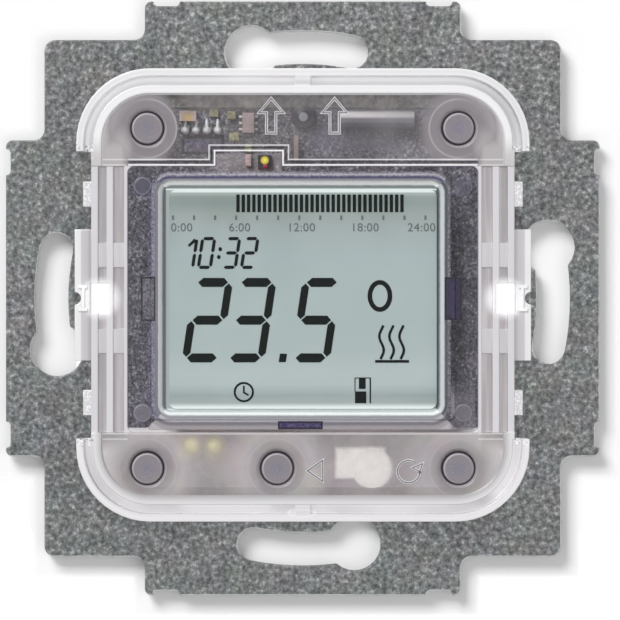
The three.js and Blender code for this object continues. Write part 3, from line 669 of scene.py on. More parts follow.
cover = {
    "edge": 0.10,
    "halfWidth": 26.9,
    "corner": 8.8,
    "level": 0.4,
    "rimDepth": 3.2,
    "window": (-20.75, 20.75, -15.87, 15.63),
    "windowNotch": (-10.3, -2.5, 14.6, 17.33),
    "buttons": [(-18.4, 20.1), (18.4, 20.1), (-18.4, -20.1), (-3.05, -20.1), (18.4, -20.1)],
    "solderRow": (-14.7, -9.5, 19.4, 21.5),
    "beads": [(-13.3, -17.5), (-10.5, -17.5)],
    "cell": (8.2, -20.1),
    "cellFoot": (3.9, 9.8, -21.3, -17.7),
    "gate": (-0.15, -25.5, 1.65, 0.45),
    "windowGlow": [(-24.1, 0.0), (24.1, 0.0)],
    "leftMilk": (112, 108, 106),
    "upperMilk": (122, 119, 124),
    "rightMilk": (152, 149, 151),
    "warmMilk": (226, 214, 208),
    "stripDark": (82, 78, 81),
    "stripLight": (132, 128, 129),
    "collarMilk": (146, 140, 145),
    "cornerMilk": (213, 207, 209),
    "cornerFoot": (186, 181, 183),
    "recess": (104, 101, 103),
    "beadGlow": (228, 221, 186),
    "cellTone": (242, 239, 238),
    "collarRing": (206, 201, 205),
    "collarEdge": (186, 181, 186),
    "whiteLine": (250, 249, 252),
    "darkLine": (30, 28, 33),
    "sill": (212, 205, 208),
    "rails": (217, 215, 219),
    "railGroove": (186, 182, 184),
    "railStreak": (206, 202, 203),
    "rimFoot": (204, 201, 203),
    "gateRing": (250, 249, 250),
    "railGlow": (250, 249, 251),
    "latchGlow": (248, 247, 249),
    "hookDark": (222, 220, 223),
    "notchDark": (120, 120, 123),
    "paintedGlint": (255, 255, 255),
    "endLine": (240, 239, 241),
    "lowerRingsAndShade": [
        (2.0, 142), (2.35, 154), (2.85, 159), (3.1, 163), (3.35, 171), (3.85, 178), (4.35, 180), (5.2, 170),
        (7.0, 152),
    ],
    "rimTop": [
        (0.0, 242), (0.4, 226), (0.72, 236), (0.95, 216), (1.25, 222), (1.6, 203), (1.85, 206), (2.1, 240),
        (2.8, 246), (3.15, 206),
    ],
    "rimBottom": [
        (0.0, 232), (0.5, 238), (1.0, 224), (1.5, 222), (1.95, 228), (2.3, 226), (2.6, 214), (2.9, 194),
        (3.15, 178),
    ],
    "latch": [
        (0.0, (170, 168, 171)), (0.18, (182, 180, 183)), (0.30, (200, 198, 201)), (0.60, (206, 204, 207)),
        (0.66, (236, 235, 237)), (1.0, (238, 237, 239)),
    ],
}


# Distance inside the cover's outline, a rounded square: length(max(|p| - (h - r), 0)) - r.
def outlineDistance(finish):
    straight = cover["halfWidth"] - cover["corner"]
    dx = (abs(finish.x) - straight).most(0.0)
    dz = (abs(finish.z - cover["level"]) - straight).most(0.0)
    return length(dx, dz) - cover["corner"]


# How far a spot lies outside a box: max(|x - cx| - w, |z - cz| - h).
def boxDistance(finish, x0, x1, z0, z1):
    dx = abs(finish.x - (x0 + x1) / 2) - (x1 - x0) / 2
    return dx.most(abs(finish.z - (z0 + z1) / 2) - (z1 - z0) / 2)


# The same from a node's own outline.
def nodeDistance(finish, node):
    low, high = corners(node)
    return boxDistance(finish, low[0], high[0], low[2], high[2])


# How far a spot lies from the nearest of some centres.
def nearest(finish, centres):
    near = 100.0
    for cx, cz in centres:
        dx, dz = finish.x - cx, finish.z - cz
        near = length(dx, dz).least(near)
    return near


# What the cover's tones and its alpha share: distances, noise, and its places from 0 to 1.
def coverPlaces(finish):
    on = SimpleNamespace()
    on.inset = outlineDistance(finish)
    on.upper = finish.z.rise(-2, 2)
    on.wide = abs(finish.x)
    on.middle = abs(finish.z - displayLevel)
    on.near = nearest(finish, cover["buttons"])
    on.cloud = finish.noise(0.22) - 0.5
    on.fine = finish.noise(1.6, 3, 0.6) - 0.5
    on.front = finish.y.fall(-8.7, -8.5)
    on.face = on.inset.fall(-3.3, -3.15) * on.middle.rise(15.74, 15.78)

    on.corner = on.wide.rise(19.8, 21.6) * on.middle.fall(17.6, 21.2) * on.upper
    on.outward = on.near.rise(2.8, 5.6) * on.wide.rise(15.5, 20.5) * on.middle.rise(15.8, 18.2)
    on.outward = on.outward.most(on.corner)
    on.aside = (-finish.x).rise(13.6, 17.2) + finish.x.rise(11.5, 15.0)
    on.strip = on.middle.rise(22.1, 22.9) * (1 - on.near.between(0, 5.6, 1.0)) * (1 - on.outward)
    # Painted shade: the deep hollow past the board's edges, behind the face.
    on.beyond = on.middle.rise(22.4, 22.6) * finish.y.rise(-4.2, -4.05) * on.face

    on.collar = on.near.fall(3.4, 3.9)
    on.halo = on.near.fall(3.6, 5.4) * on.aside
    on.ring = on.near.between(3.36, 3.56, 0.09) * (1 - 0.9 * on.wide.rise(17.5, 20.5))
    on.chamfer = on.near.between(2.04, 2.32, 0.03)
    on.beads = nearest(finish, cover["beads"]).fall(0.2, 2.0)
    on.cell = nearest(finish, [cover["cell"]]).fall(2.1, 2.7)
    on.cell = on.cell.most(boxDistance(finish, *cover["cellFoot"]).fall(-0.4, 0.25))

    edge = boxDistance(finish, *cover["window"]).least(boxDistance(finish, *cover["windowNotch"]))
    between = on.wide.fall(20.6, 20.8) * on.front
    on.white = between * on.upper * edge.between(0.05, 0.25, 0.04)
    on.dark = between * on.upper * edge.between(0.40, 0.60, 0.05)
    on.pale = between * on.upper * edge.between(0.72, 0.88, 0.05)
    on.sill = (1 - on.upper) * edge.between(0.0, 0.26, 0.04) * on.front
    return on


# Alpha: low on the upper face, higher in the lower band and towards the corners, and nearly 1 in
# the rims and rails, where the eye looks along the walls.
def coverAlpha(finish, on):
    upper = 0.32 + 0.30 * on.cloud + 0.45 * on.halo + 0.45 * on.strip
    upper = upper * (1 - 0.65 * boxDistance(finish, *cover["solderRow"]).fall(-0.2, 0.5))
    lower = (0.82 + 0.20 * on.cloud) * (1 - 0.55 * on.cell) * (1 - 0.30 * on.beads)
    face = on.upper * upper + (1 - on.upper) * lower
    face = face.most(0.84 * on.collar).most(0.92 * on.outward)
    face = face.most(0.9 * on.ring * on.upper).most(0.85 * on.chamfer)
    face = face * (0.10 + 0.90 * on.front)
    face = face * (1 - on.beyond) + 0.80 * on.beyond
    dashes = (finish.noise(1.6, rough=0.6) + 0.5).least(1.0)
    face = face.most(on.white * 0.95).most(on.pale * 0.7).most(on.dark * 0.8 * dashes)
    return (on.face * face + (1 - on.face) * 0.97).most(0.02).least(1.0)


# Rim tone: a row of levels over the depth inside the outline, one row above and one below. The
# levels hold the rim's milky tone and also painted shade and highlight of its grooves and bead,
# darker at the inner edge.
def rimTone(finish, on):
    depth = -on.inset / cover["rimDepth"]
    top = [(at / cover["rimDepth"], (level, level - 1, level + 1)) for at, level in cover["rimTop"]]
    low = [(at / cover["rimDepth"], (level, level - 2, level)) for at, level in cover["rimBottom"]]
    rim = finish.mix(on.upper, finish.ramp(depth, low), finish.ramp(depth, top))
    foot = on.upper * on.middle.fall(16.4, 19.6) * depth.rise(0.45, 0.65)
    return finish.mix(foot, rim, cover["rimFoot"])


# Face tone: rings round the buttons below, darker close to each button with painted shade, milk in
# three tones above, what is drawn on it, and painted shade in the deep hollow past the board's edges.
def layFaceTone(finish, on):
    # The rings round the lower buttons hold painted shade close to each button.
    rings = [((r - 2) / 5, (level, level - 6, level - 4)) for r, level in cover["lowerRingsAndShade"]]
    tint = finish.noise(0.35, output=1)
    lower = finish.mix(0.10, finish.ramp((on.near - 2.0) / 5, rings), tint, "OVERLAY")
    lower = finish.mix(on.beads * 0.6, lower, cover["beadGlow"])
    lower = finish.mix(on.cell * (0.75 + 0.5 * on.fine), lower, cover["cellTone"])
    tone = finish.mix(finish.x.rise(-5, 3), cover["leftMilk"], cover["upperMilk"])
    tone = finish.mix(finish.x.rise(6, 12), tone, cover["rightMilk"])
    tone = finish.mix(on.strip, tone, finish.mix(on.fine + 0.5, cover["stripDark"], cover["stripLight"]))
    finish.colour = finish.mix(on.upper, lower, tone)
    warm = finish.mix(0.12, finish.colour, cover["warmMilk"])
    corner = finish.mix(on.corner, cover["cornerMilk"], cover["cornerFoot"])
    for share, tone in (
        ((on.cloud + 0.5 + on.fine * 0.5).rise(0.35, 0.65), warm),
        (on.collar.most(on.halo) * on.upper, cover["collarMilk"]),
        (on.outward, corner),
        (on.ring * (0.2 + 0.26 * on.upper), cover["collarRing"]),
        (on.chamfer, cover["collarEdge"]),
        (on.beyond, cover["recess"]),
        (on.white.most(on.pale), cover["whiteLine"]),
        (on.dark, cover["darkLine"]),
        (on.sill * 0.85, cover["sill"]),
    ):
        finish.over(share, tone)


# Rails, latch blocks and the lines at their ends. Painted shade darkens the grooves with depth, a
# painted glow stands where light comes through each snap window, and painted glints lie on the
# hook ends and in the notches beside the latches. The latch's row of tones also holds painted
# shade, darker towards the rails.
def layRailTone(finish, on):
    streak = finish.noise(1.4, stretch=(1.0, 1.0, 0.05))
    # Painted shade: the grooves darken with depth.
    groove = finish.mix(streak.rise(0.4, 0.65), cover["railGroove"], cover["railStreak"])
    glow = nearest(finish, cover["windowGlow"]).fall(1.6, 2.9)
    rails = finish.mix(finish.y.rise(-8.9, -7.6), cover["rails"], groove)
    rails = finish.mix(glow, rails, cover["railGlow"])
    finish.over(on.middle.fall(15.72, 15.76) * on.wide.rise(20, 20.5), rails)
    rise = abs(finish.z - cover["level"])
    latch = finish.mix(glow, finish.ramp((on.wide - 24.9) / 2.3, cover["latch"]), cover["latchGlow"])
    # Painted glints: pure white spots on the hook ends.
    hook = finish.mix(finish.noise(2.6, 3, 0.7).rise(0.5, 0.6), cover["hookDark"], cover["paintedGlint"])
    latch = finish.mix(rise.rise(8.2, 8.5), latch, hook)
    finish.over(on.wide.rise(25.1, 25.2) * rise.fall(16.6, 16.8), latch)
    line = on.middle.between(15.80, 15.98, 0.04).most(on.middle.between(16.45, 16.62, 0.04))
    finish.over(line * on.wide.between(20.75, 25.1, 0.05) * on.face * 0.6, cover["endLine"])
    # Painted glints and dark specks in the notches beside the latches.
    notch = on.wide.rise(24.6, 25.0) * rise.between(15.9, 18.0, 0.3)
    finish.over(notch * finish.noise(2.6, 3, 0.7).rise(0.52, 0.62), cover["paintedGlint"])
    finish.over(notch * finish.noise(3.1, 3, 0.7).fall(0.36, 0.44), cover["notchDark"])


# Clear plastic: the face inside the outline, the rim, a ring round the gate, then rails and latches.
def clearPlastic():
    finish = Finish("clear_plastic", roughness=0.22, IOR=1.5, Specular_IOR_Level=0.4)
    on = coverPlaces(finish)
    finish.set("Alpha", coverAlpha(finish, on))
    layFaceTone(finish, on)
    finish.colour = finish.mix(on.face, rimTone(finish, on), finish.colour)
    cx, cz, halfWidth, halfHeight = cover["gate"]
    gate = length((finish.x - cx) / halfWidth, (finish.z - cz) / halfHeight)
    finish.over(gate.between(0.82, 1.05, 0.10) * 0.55, cover["gateRing"])
    layRailTone(finish, on)
    finish.bump(finish.noise(1.1), 0.06, 0.05)
    return finish


milky = clearPlastic()
shell = softened("front_cover", milky, cover["edge"], segments=2, angle=28)
shell.visible_shadow = False


# Raised lines on the face: a bright rounded rib with a dark crown of painted shade along its
# top, as strokes = (path, closed).
raised = {
    "rib": 0.17,
    "crown": 0.06,
    "front": -9.66,
    "foot": -9.58,
    "arrows": [(-3.75, 21.6), (3.75, 21.6)],
    "arrow": [(0, 2.05), (1.45, 0.35), (0.55, 0.35), (0.55, -2.05)],
    "triangle": [(0.55, -20.4), (2.35, -19.15), (2.35, -21.65)],
    "turn": (12.5, -20.5, 1.32),
    "turnTip": [(12.95, -20.0), (13.82, -20.5), (14.15, -19.55)],
    "ribTone": (214, 213, 216),
    "crownShade": (100, 97, 103),
}


# Two arrows, each a half outline and its mirror image, a triangle, and an arc with a tip:
# point = centre + r (cos t, sin t).
def raisedMarks():
    cx, cz, r = raised["turn"]
    t = np.linspace(math.radians(60), math.radians(360), 44)
    turn = np.stack([cx + r * np.cos(t), cz + r * np.sin(t)], axis=-1)
    half = raised["arrow"]
    outline = half + [(-x, z) for x, z in half[:0:-1]]
    strokes = [([(cx + x, cz + z) for x, z in outline], True) for cx, cz in raised["arrows"]]
    strokes += [(raised["triangle"], True), (turn, False), (raised["turnTip"], True)]
    front, foot = raised["front"], raised["foot"]
    ribs = [ribbon(path, raised["rib"], front, foot, closed) for path, closed in strokes]
    # The dark crown on each rib is painted shade along its top.
    crowns = [ribbon(path, raised["crown"], front - 0.03, front + 0.01, closed) for path, closed in strokes]
    return ribs, crowns


ribs, crowns = raisedMarks()
bright = satinPlastic("raised_rib", raised["ribTone"], 0.3)
shade = satinPlastic("raised_crown_shade", raised["crownShade"], 0.3)
for name, shapes, finish in (("face_marks", ribs, bright), ("face_mark_crown_shades", crowns, shade)):
    piece(name, *together(*shapes), "front_cover", finish)


hooks = {
    "bars": [(26.15, 1.36, 0.55, 0.2), (26.15, -1.36, 0.55, 0.2), (26.08, 0.0, 0.17, 1.2)],
    "levels": (0.08, -6.78, -6.55, 0.07),
    "tone": (250, 249, 251),
}


# A hook beside each snap window, shaped like a capital I lying on the latch block: three blocks.
def hookShape(side):
    return together(*[smallBlock(side * x, z, w, h, *hooks["levels"]) for x, z, w, h in hooks["bars"]])


hook = satinPlastic("snap_hook", hooks["tone"], 0.25)
for side, name in ((-1, "snap_hook_left"), (1, "snap_hook_right")):
    piece(name, *hookShape(side), "front_cover", hook)
print("cover made")


button = {
    "heart": (120, 117, 131),
    "tone": (129, 122, 128),
    "grainDark": (90, 86, 92),
    "grainLight": (200, 196, 202),
    "lip": (176, 170, 176),
    "gap": (44, 40, 46),
    "roughness": 0.42,
    "radius": 1.83,
    "capRound": 0.24,
    "dish": 0.05,
    "flangeTop": -8.1,
    "flangeHeight": 0.7,
    "stemRadius": 1.2,
}


# Cap plastic: heart to tone outwards, a pale lip at radius 1.6 to 1.76 with a painted highlight that
# is strongest on its upper left, and painted shade, nearly black, below the rim in the gap round it.
def capFinish():
    finish = Finish("button_plastic", roughness=button["roughness"])
    near = nearest(finish, cover["buttons"])
    fine = finish.noise(6.0)
    lit = (finish.normalZ - finish.normalX).rise(-0.4, 0.5)
    finish.colour = finish.mix(near.rise(0.2, 1.4), button["heart"], button["tone"])
    finish.over(0.10, finish.ramp(fine, [(0.3, button["grainDark"]), (0.7, button["grainLight"])]))
    # Painted highlight on the lip, strongest on its upper left.
    finish.over(near.between(1.60, 1.76, 0.05) * (0.35 + 0.5 * lit), button["lip"])
    # Painted shade, nearly black, below the rim in the gap round the cap.
    finish.over(finish.y.rise(-10.15, -9.9), button["gap"])
    finish.set("Roughness", button["roughness"] - 0.06 + 0.12 * fine)
    finish.bump(fine, 0.2, 0.01)
    return finish


# A cap turned round its axis: a dished top, y = top + dish (1 - s^2), a rounded rim, a skirt, a
# flange and a stem.
def capShape(node):
    low, high = corners(node)
    cx, cz = middleOf(node)
    top, foot = low[1], high[1]
    r, flange, stem = button["radius"], (high[0] - low[0]) / 2, button["stemRadius"]
    lip, dish = button["capRound"], button["dish"]
    upper, lower = button["flangeTop"], button["flangeTop"] + button["flangeHeight"]
    profile = [(0.0, top + dish)]
    profile += [((r - lip) * s, top + dish * (1 - s * s)) for s in np.linspace(0.12, 1, 8)]
    for t in np.linspace(0.2, math.pi / 2, 6):
        profile.append((r - lip + lip * math.sin(t), top + lip * (1 - math.cos(t))))
    profile += [(r, upper), (flange - 0.08, upper), (flange, upper + 0.08), (flange, lower - 0.08)]
    profile += [(flange - 0.08, lower), (stem, lower), (stem, foot), (0.0, foot)]
    return turned(profile, cx, cz, 72)


capPlastic = capFinish()
keys = ("up", "down", "mode", "reset", "ok")
for key in keys:
    node = key + "_button"
    cap = piece(key + "_cap", *capShape(node), node, capPlastic, replaces=[node])
    cap.visible_shadow = False
print("caps made")


display = {
    "film": [
        (-12.4, 158, 168, 167), (-11.5, 148, 160, 160), (-11.0, 160, 173, 173), (-10.2, 174, 186, 186),
        (-8.8, 176, 188, 188), (-6.2, 169, 182, 182), (0.0, 166, 180, 180), (5.0, 162, 176, 177),
        (8.0, 156, 168, 168), (10.0, 147, 158, 155), (11.2, 132, 145, 142), (12.0, 134, 146, 142),
        (12.3, 158, 168, 166),
    ],
    "filmEdgeHighlight": (236, 246, 244),
    "glass": (170, 180, 180),
    "glassLeftShade": (110, 115, 117),
    "glassRightShade": (88, 95, 98),
    "glassTopShade": (128, 136, 136),
    "glassHighlightDim": (228, 238, 236),
    "glassHighlight": (238, 247, 245),
    "filmCloud": (190, 200, 200),
    "catchShade": (26, 20, 34),
    "speckLight": (190, 187, 196),
    "speckDark": (38, 34, 52),
    "ink": (8, 15, 14),
    "greyInk": (98, 106, 106),
    "middle": (-0.2, -0.01),
    "opening": (16.2, 13.27, 0.8),
    "pegs": (19.0, 13.45),
    "reach": 2.5,
    "patchDark": (120, 116, 124),
    "patchLight": (142, 138, 146),
    "topPeg": (92, 92, 106),
    "topPegRim": (136, 136, 150),
    "lowPeg": (122, 118, 128),
    "lowPegRim": (146, 141, 152),
    "violetDark": (44, 34, 76),
    "violetLight": (92, 84, 124),
    "greyDark": (76, 73, 84),
    "greyLight": (128, 125, 134),
    "outline": (24, 20, 32),
    "left": [
        (0.0, 110, 114, 117), (0.03, 112, 116, 118), (0.10, 156, 158, 162), (0.14, 200, 202, 206),
        (0.27, 198, 200, 204), (0.31, 120, 121, 126), (0.36, 122, 122, 129), (0.55, 130, 127, 144),
        (0.62, 100, 96, 120), (0.68, 86, 82, 106), (0.76, 92, 88, 110), (0.82, 98, 96, 104),
    ],
    "right": [
        (0.0, 88, 95, 98), (0.05, 94, 100, 104), (0.10, 172, 177, 181), (0.15, 196, 201, 206),
        (0.27, 196, 201, 206), (0.31, 140, 144, 148), (0.34, 84, 86, 92), (0.42, 88, 89, 96),
        (0.47, 116, 117, 126), (0.52, 112, 112, 122), (0.57, 88, 87, 97), (1.0, 88, 86, 94),
    ],
    "top": [
        (0.0, 132, 140, 138), (0.04, 205, 212, 210), (0.09, 255, 255, 255), (0.15, 255, 255, 255),
        (0.20, 222, 226, 224), (0.25, 158, 162, 162), (0.30, 136, 138, 145), (0.37, 116, 116, 130),
        (0.42, 76, 70, 104), (0.47, 84, 80, 112), (0.52, 150, 146, 160), (0.57, 184, 181, 192),
        (0.62, 142, 140, 148), (0.68, 122, 119, 127), (0.8, 112, 109, 117),
    ],
    "bottom": [
        (0.0, 180, 188, 187), (0.05, 200, 205, 205), (0.11, 224, 229, 229), (0.15, 242, 247, 248),
        (0.20, 218, 222, 224), (0.26, 158, 160, 163), (0.32, 138, 139, 143), (0.38, 168, 168, 173),
        (0.45, 192, 189, 197), (0.51, 176, 173, 181), (0.57, 132, 128, 135), (0.64, 118, 114, 121),
        (0.72, 146, 142, 147), (0.78, 164, 159, 163), (0.90, 166, 161, 165), (0.96, 190, 185, 188),
    ],
    "catches": [
        (-19.2, -17.4, -2.7, 2.55), (16.75, 18.8, -2.55, 2.5), (-2.95, 2.35, -15.5, -14.55),
    ],
}


# The film: grey green that darkens towards the top and in a band near the bottom, partly its own
# tone and partly painted shade, and nearly white along its lower and upper edges: a painted
# highlight where they catch the light.
def filmFinish():
    finish = Finish("polarizer_film", roughness=0.42, Specular_IOR_Level=0.25)
    low, high = display["film"][0][0], display["film"][-1][0]
    stops = [((z - low) / (high - low), tone) for z, *tone in display["film"]]
    colour = finish.ramp((finish.z - low) / (high - low), stops)
    slow = finish.noise(0.12)
    colour = finish.mix(slow.rise(0.3, 0.7) * 0.2, colour, display["filmCloud"])
    edge = finish.z.fall(-13.1, -12.3).most(finish.z.rise(12.42, 12.68) * 0.9)
    finish.set("Base Color", finish.mix(edge, colour, display["filmEdgeHighlight"]))
    finish.bump(finish.noise(9, 1), 0.05, 0.01)
    return finish


# Glass beside the film: a painted highlight in a bright line above and below it, and painted shade
# in the dark lines at its sides and above the top line.
def frontGlassFinish():
    finish = Finish("lcd_glass", roughness=0.12, Specular_IOR_Level=0.5)
    wave = finish.noise(0.8)
    sides = finish.mix(finish.x.rise(-16.25, -16.15), display["glassLeftShade"], display["glass"])
    sides = finish.mix(finish.x.rise(15.7, 15.8), sides, display["glassRightShade"])
    ends = finish.mix(wave, display["glassHighlightDim"], display["glassHighlight"])
    over = (abs(finish.z - displayLevel) - 12.95).rise(-0.05, 0.05) * abs(finish.x + 0.2).fall(16.1, 16.2)
    ends = finish.mix(finish.z.rise(12.94, 13.06), ends, display["glassTopShade"])
    finish.set("Base Color", finish.mix(over, sides, ends))
    finish.set("Roughness", 0.08 + 0.1 * wave)
    return finish


# Clear plastic round the display, tinted by the distance outside its opening:
# distance = length(max(|p| - (h - r), 0)) - r. Each side has its own row of tones, read at
# distance / reach. The rows hold the plastic's own tint and also painted highlight and shade: a
# bright line near the opening and dark lines beside it.
def frameTintsAndShading(finish, on):
    spread = ((on.out + on.wander * 0.10) / display["reach"]).most(0.0)
    tintsAndShading = [
        finish.ramp(spread, [(at, tint) for at, *tint in display[side]])
        for side in ("left", "right", "top", "bottom")
    ]
    sides, levels = finish.mix(on.right, *tintsAndShading[:2]), finish.mix(on.top, *tintsAndShading[:1:-1])
    finish.colour = finish.mix(on.ends, sides, levels)
    speckle = on.out.rise(1.0, 1.3) * (1 - on.ends * (1 - on.top))
    finish.over(speckle * on.fine.rise(0.52, 0.62) * 0.5, display["speckLight"])
    finish.over(speckle * on.fine.fall(0.38, 0.46) * 0.5, display["speckDark"])


# Dark catches with outlines at three sides, and four pegs that show as discs.
def frameFinish():
    finish = Finish("frame_plastic", roughness=0.25, Specular_IOR_Level=0.35)
    on = SimpleNamespace()
    mx, mz = display["middle"]
    halfWidth, halfHeight, corner = display["opening"]
    x, z = abs(finish.x - mx), abs(finish.z - mz)
    dx, dz = (x - (halfWidth - corner)).most(0.0), (z - (halfHeight - corner)).most(0.0)
    on.out = length(dx, dz) - corner
    on.ends = ((z - halfHeight) - (x - halfWidth)).rise(-0.15, 0.15)
    on.right, on.top = finish.x.rise(-1, 1), finish.z.rise(-1, 1)
    on.wander = finish.noise(1.3, rough=0.6) - 0.5
    on.fine = finish.noise(4.0, 3, 0.7)
    out, ends, right, top, fine = on.out, on.ends, on.right, on.top, on.fine
    frameTintsAndShading(finish, on)

    near = out.fall(0.9, 1.1) * 0.96
    leftAlpha = near.most(out.fall(1.8, 2.0) * 0.78)
    rightAlpha = near.most(out.fall(1.4, 1.6) * 0.7)
    topAlpha = out.fall(1.6, 1.9) * 0.94
    alpha = (leftAlpha * (1 - right) + rightAlpha * right) * (1 - ends)
    alpha = alpha + ends * (top * topAlpha + (1 - top) * (0.93 - 0.7 * x.rise(17.6, 18.3)))

    patch = right * (1 - top) * x.rise(17.3, 17.9) * z.rise(8.5, 12.5)
    patch = patch * (1 - out.rise(2.05, 2.2) * 0.4)
    finish.over(patch, finish.mix(fine.rise(0.4, 0.6), display["patchDark"], display["patchLight"]))
    alpha = alpha.most(patch * 0.85)

    px, pz = display["pegs"]
    peg = length(abs(finish.x) - px, abs(finish.z - displayLevel) - pz)
    onPeg = peg.fall(1.08, 1.16)
    face = finish.mix(top, display["lowPeg"], display["topPeg"])
    rim = finish.mix(top, display["lowPegRim"], display["topPegRim"])
    finish.over(onPeg, finish.mix(peg.between(0.9, 1.05, 0.06), face, rim))
    alpha = alpha.most(onPeg * (0.52 - 0.34 * right * top))

    caught, outline = 0.0, 0.0
    for box in display["catches"]:
        away = boxDistance(finish, *box)
        caught = away.fall(-0.04, 0.04).most(caught)
        outline = away.between(-0.22, 0.02, 0.04).most(outline)
    caught = caught * (out + 0.3 * right).rise(1.0, 1.15)
    violet = finish.mix(fine.rise(0.4, 0.6), display["violetDark"], display["violetLight"])
    violet = finish.mix(right * (1 - ends) * 0.6, violet, display["catchShade"])
    grey = finish.mix(fine.rise(0.4, 0.6), display["greyDark"], display["greyLight"])
    finish.over(caught, finish.mix(ends.most(right), grey, violet))
    finish.over(outline * caught * fine.rise(0.36, 0.44), display["outline"])
    alpha = alpha.most(caught * 0.8)
    finish.set("Alpha", (finish.y.fall(-8.3, -8.1) * alpha + 0.05).least(1.0))
    finish.bump(on.wander, 0.08, 0.05)
    return finish


# The frame's section, from the opening outwards and round the back of its skirt, then its pegs.
def frameShape():
    inner = [
        (*display["opening"], -8.2), (*display["opening"], -8.8), (16.36, 13.40, 0.9, -9.0),
        (16.42, 13.46, 0.9, -9.05), (16.78, 13.74, 1.0, -9.36), (16.86, 13.80, 1.0, -9.4),
    ]
    outer = [
        (17.86, 14.13, 0.4, -9.4), (17.96, 14.21, 0.4, -9.36), (18.0, 14.25, 0.4, -9.28),
        (18.0, 14.25, 0.4, -8.7), (18.1, 14.35, 0.5, -8.6), (20.33, 15.33, 0.45, -8.6),
        (20.42, 15.42, 0.5, -8.57), (20.45, 15.45, 0.5, -8.48), (20.45, 15.45, 0.5, -7.72),
        (20.38, 15.38, 0.5, -7.6), (18.26, 15.38, 0.3, -7.6), (18.26, 15.38, 0.3, -4.05),
        (17.6, 14.79, 0.2, -4.05), (17.6, 14.79, 0.2, -8.2),
    ]
    peg = [(0.0, -8.9), (0.8, -8.9), (0.98, -8.88), (1.09, -8.82), (1.13, -8.72), (1.13, -4.05)]
    peg.append((0.0, -4.05))
    level = middleOf("display_frame")[1]
    middles = [display["middle"]] * len(inner) + [(0.0, level)] * len(outer)
    cx, cz = np.array(middles[::-1]).T
    shapes = [loops((inner + outer)[::-1], cx, cz)]
    px, pz = display["pegs"]
    for x in (-px, px):
        shapes += [turned(peg, x, z + level, 40) for z in (-pz, pz)]
    return together(*shapes)


bezel = piece("display_bezel", *frameShape(), "display_frame", frameFinish(), replaces=["display_frame"])
bezel.visible_shadow = False


# Segment ink: tone and a slightly lighter one, mixed by fine noise.
def inkFinish(name, tone):
    finish = Finish(name, roughness=0.5, Specular_IOR_Level=0.15)
    fine = finish.noise(3.5)
    light = toned(tone, 8)
    finish.set("Base Color", finish.mix(fine.rise(0.4, 0.6), tone, light))
    return finish


finishNode("lcd_front_polarizer", filmFinish())
finishNode("lcd_front_glass", frontGlassFinish())
ink = inkFinish("display_ink", display["ink"])
greyInk = inkFinish("display_grey_ink", display["greyInk"])
inkFront, inkBack = -8.44, -8.4


# An outline given as corners becomes a thin plate with a front, a back and its sides.
def inkPlate(outline, front=inkFront, back=inkBack):
    outline = np.array(outline, float)
    count = len(outline)
    area = np.sum(outline[:, 0] * np.roll(outline[:, 1], -1) - np.roll(outline[:, 0], -1) * outline[:, 1])
    outline = outline[::-1] if area < 0 else outline
    levels = np.repeat([front, back], count)
    flat = np.vstack([outline, outline])
    ring = np.arange(count)
    after = (ring + 1) % count
    sides = np.stack([after, ring, ring + count, after + count], axis=-1).tolist()
    return pointsOf(flat[:, 0], levels, flat[:, 1]), [list(ring), list(ring[::-1] + count)] + sides


# One figure of seven bars. Each bar is a hexagon, and z leans the figure: x = cx + x + lean * z.
def figure(text, cx, size, lean=0.15):
    w, h, gap = size["halfWidth"], size["halfHeight"], size["gap"]
    t, v = size["level"], size["upright"]
    a, b = gap - w, w - gap

    def level(z):
        return [(a, z), (a + t, z + t), (b - t, z + t), (b, z), (b - t, z - t), (a + t, z - t)]

    def upright(x, low, high):
        near, far = low + v, high - v
        return [(x, low), (x + v, near), (x + v, far), (x, high), (x - v, far), (x - v, near)]

    bars = {
        "top": level(h),
        "middle": level(0),
        "bottom": level(-h),
        "upperLeft": upright(-w, gap, h - gap),
        "upperRight": upright(w, gap, h - gap),
        "lowerLeft": upright(-w, -h + gap, -gap),
        "lowerRight": upright(w, -h + gap, -gap),
    }
    cz, lit = size["z"], [bars[bar] for bar in figureBars[text]]
    return [inkPlate([(cx + x + lean * z, cz + z) for x, z in bar]) for bar in lit]


figureBars = {
    "0": ("top", "bottom", "upperLeft", "upperRight", "lowerLeft", "lowerRight"),
    "1": ("upperRight", "lowerRight"),
    "2": ("top", "middle", "bottom", "upperRight", "lowerLeft"),
    "3": ("top", "middle", "bottom", "upperRight", "lowerRight"),
    "5": ("top", "middle", "bottom", "upperLeft", "lowerRight"),
}

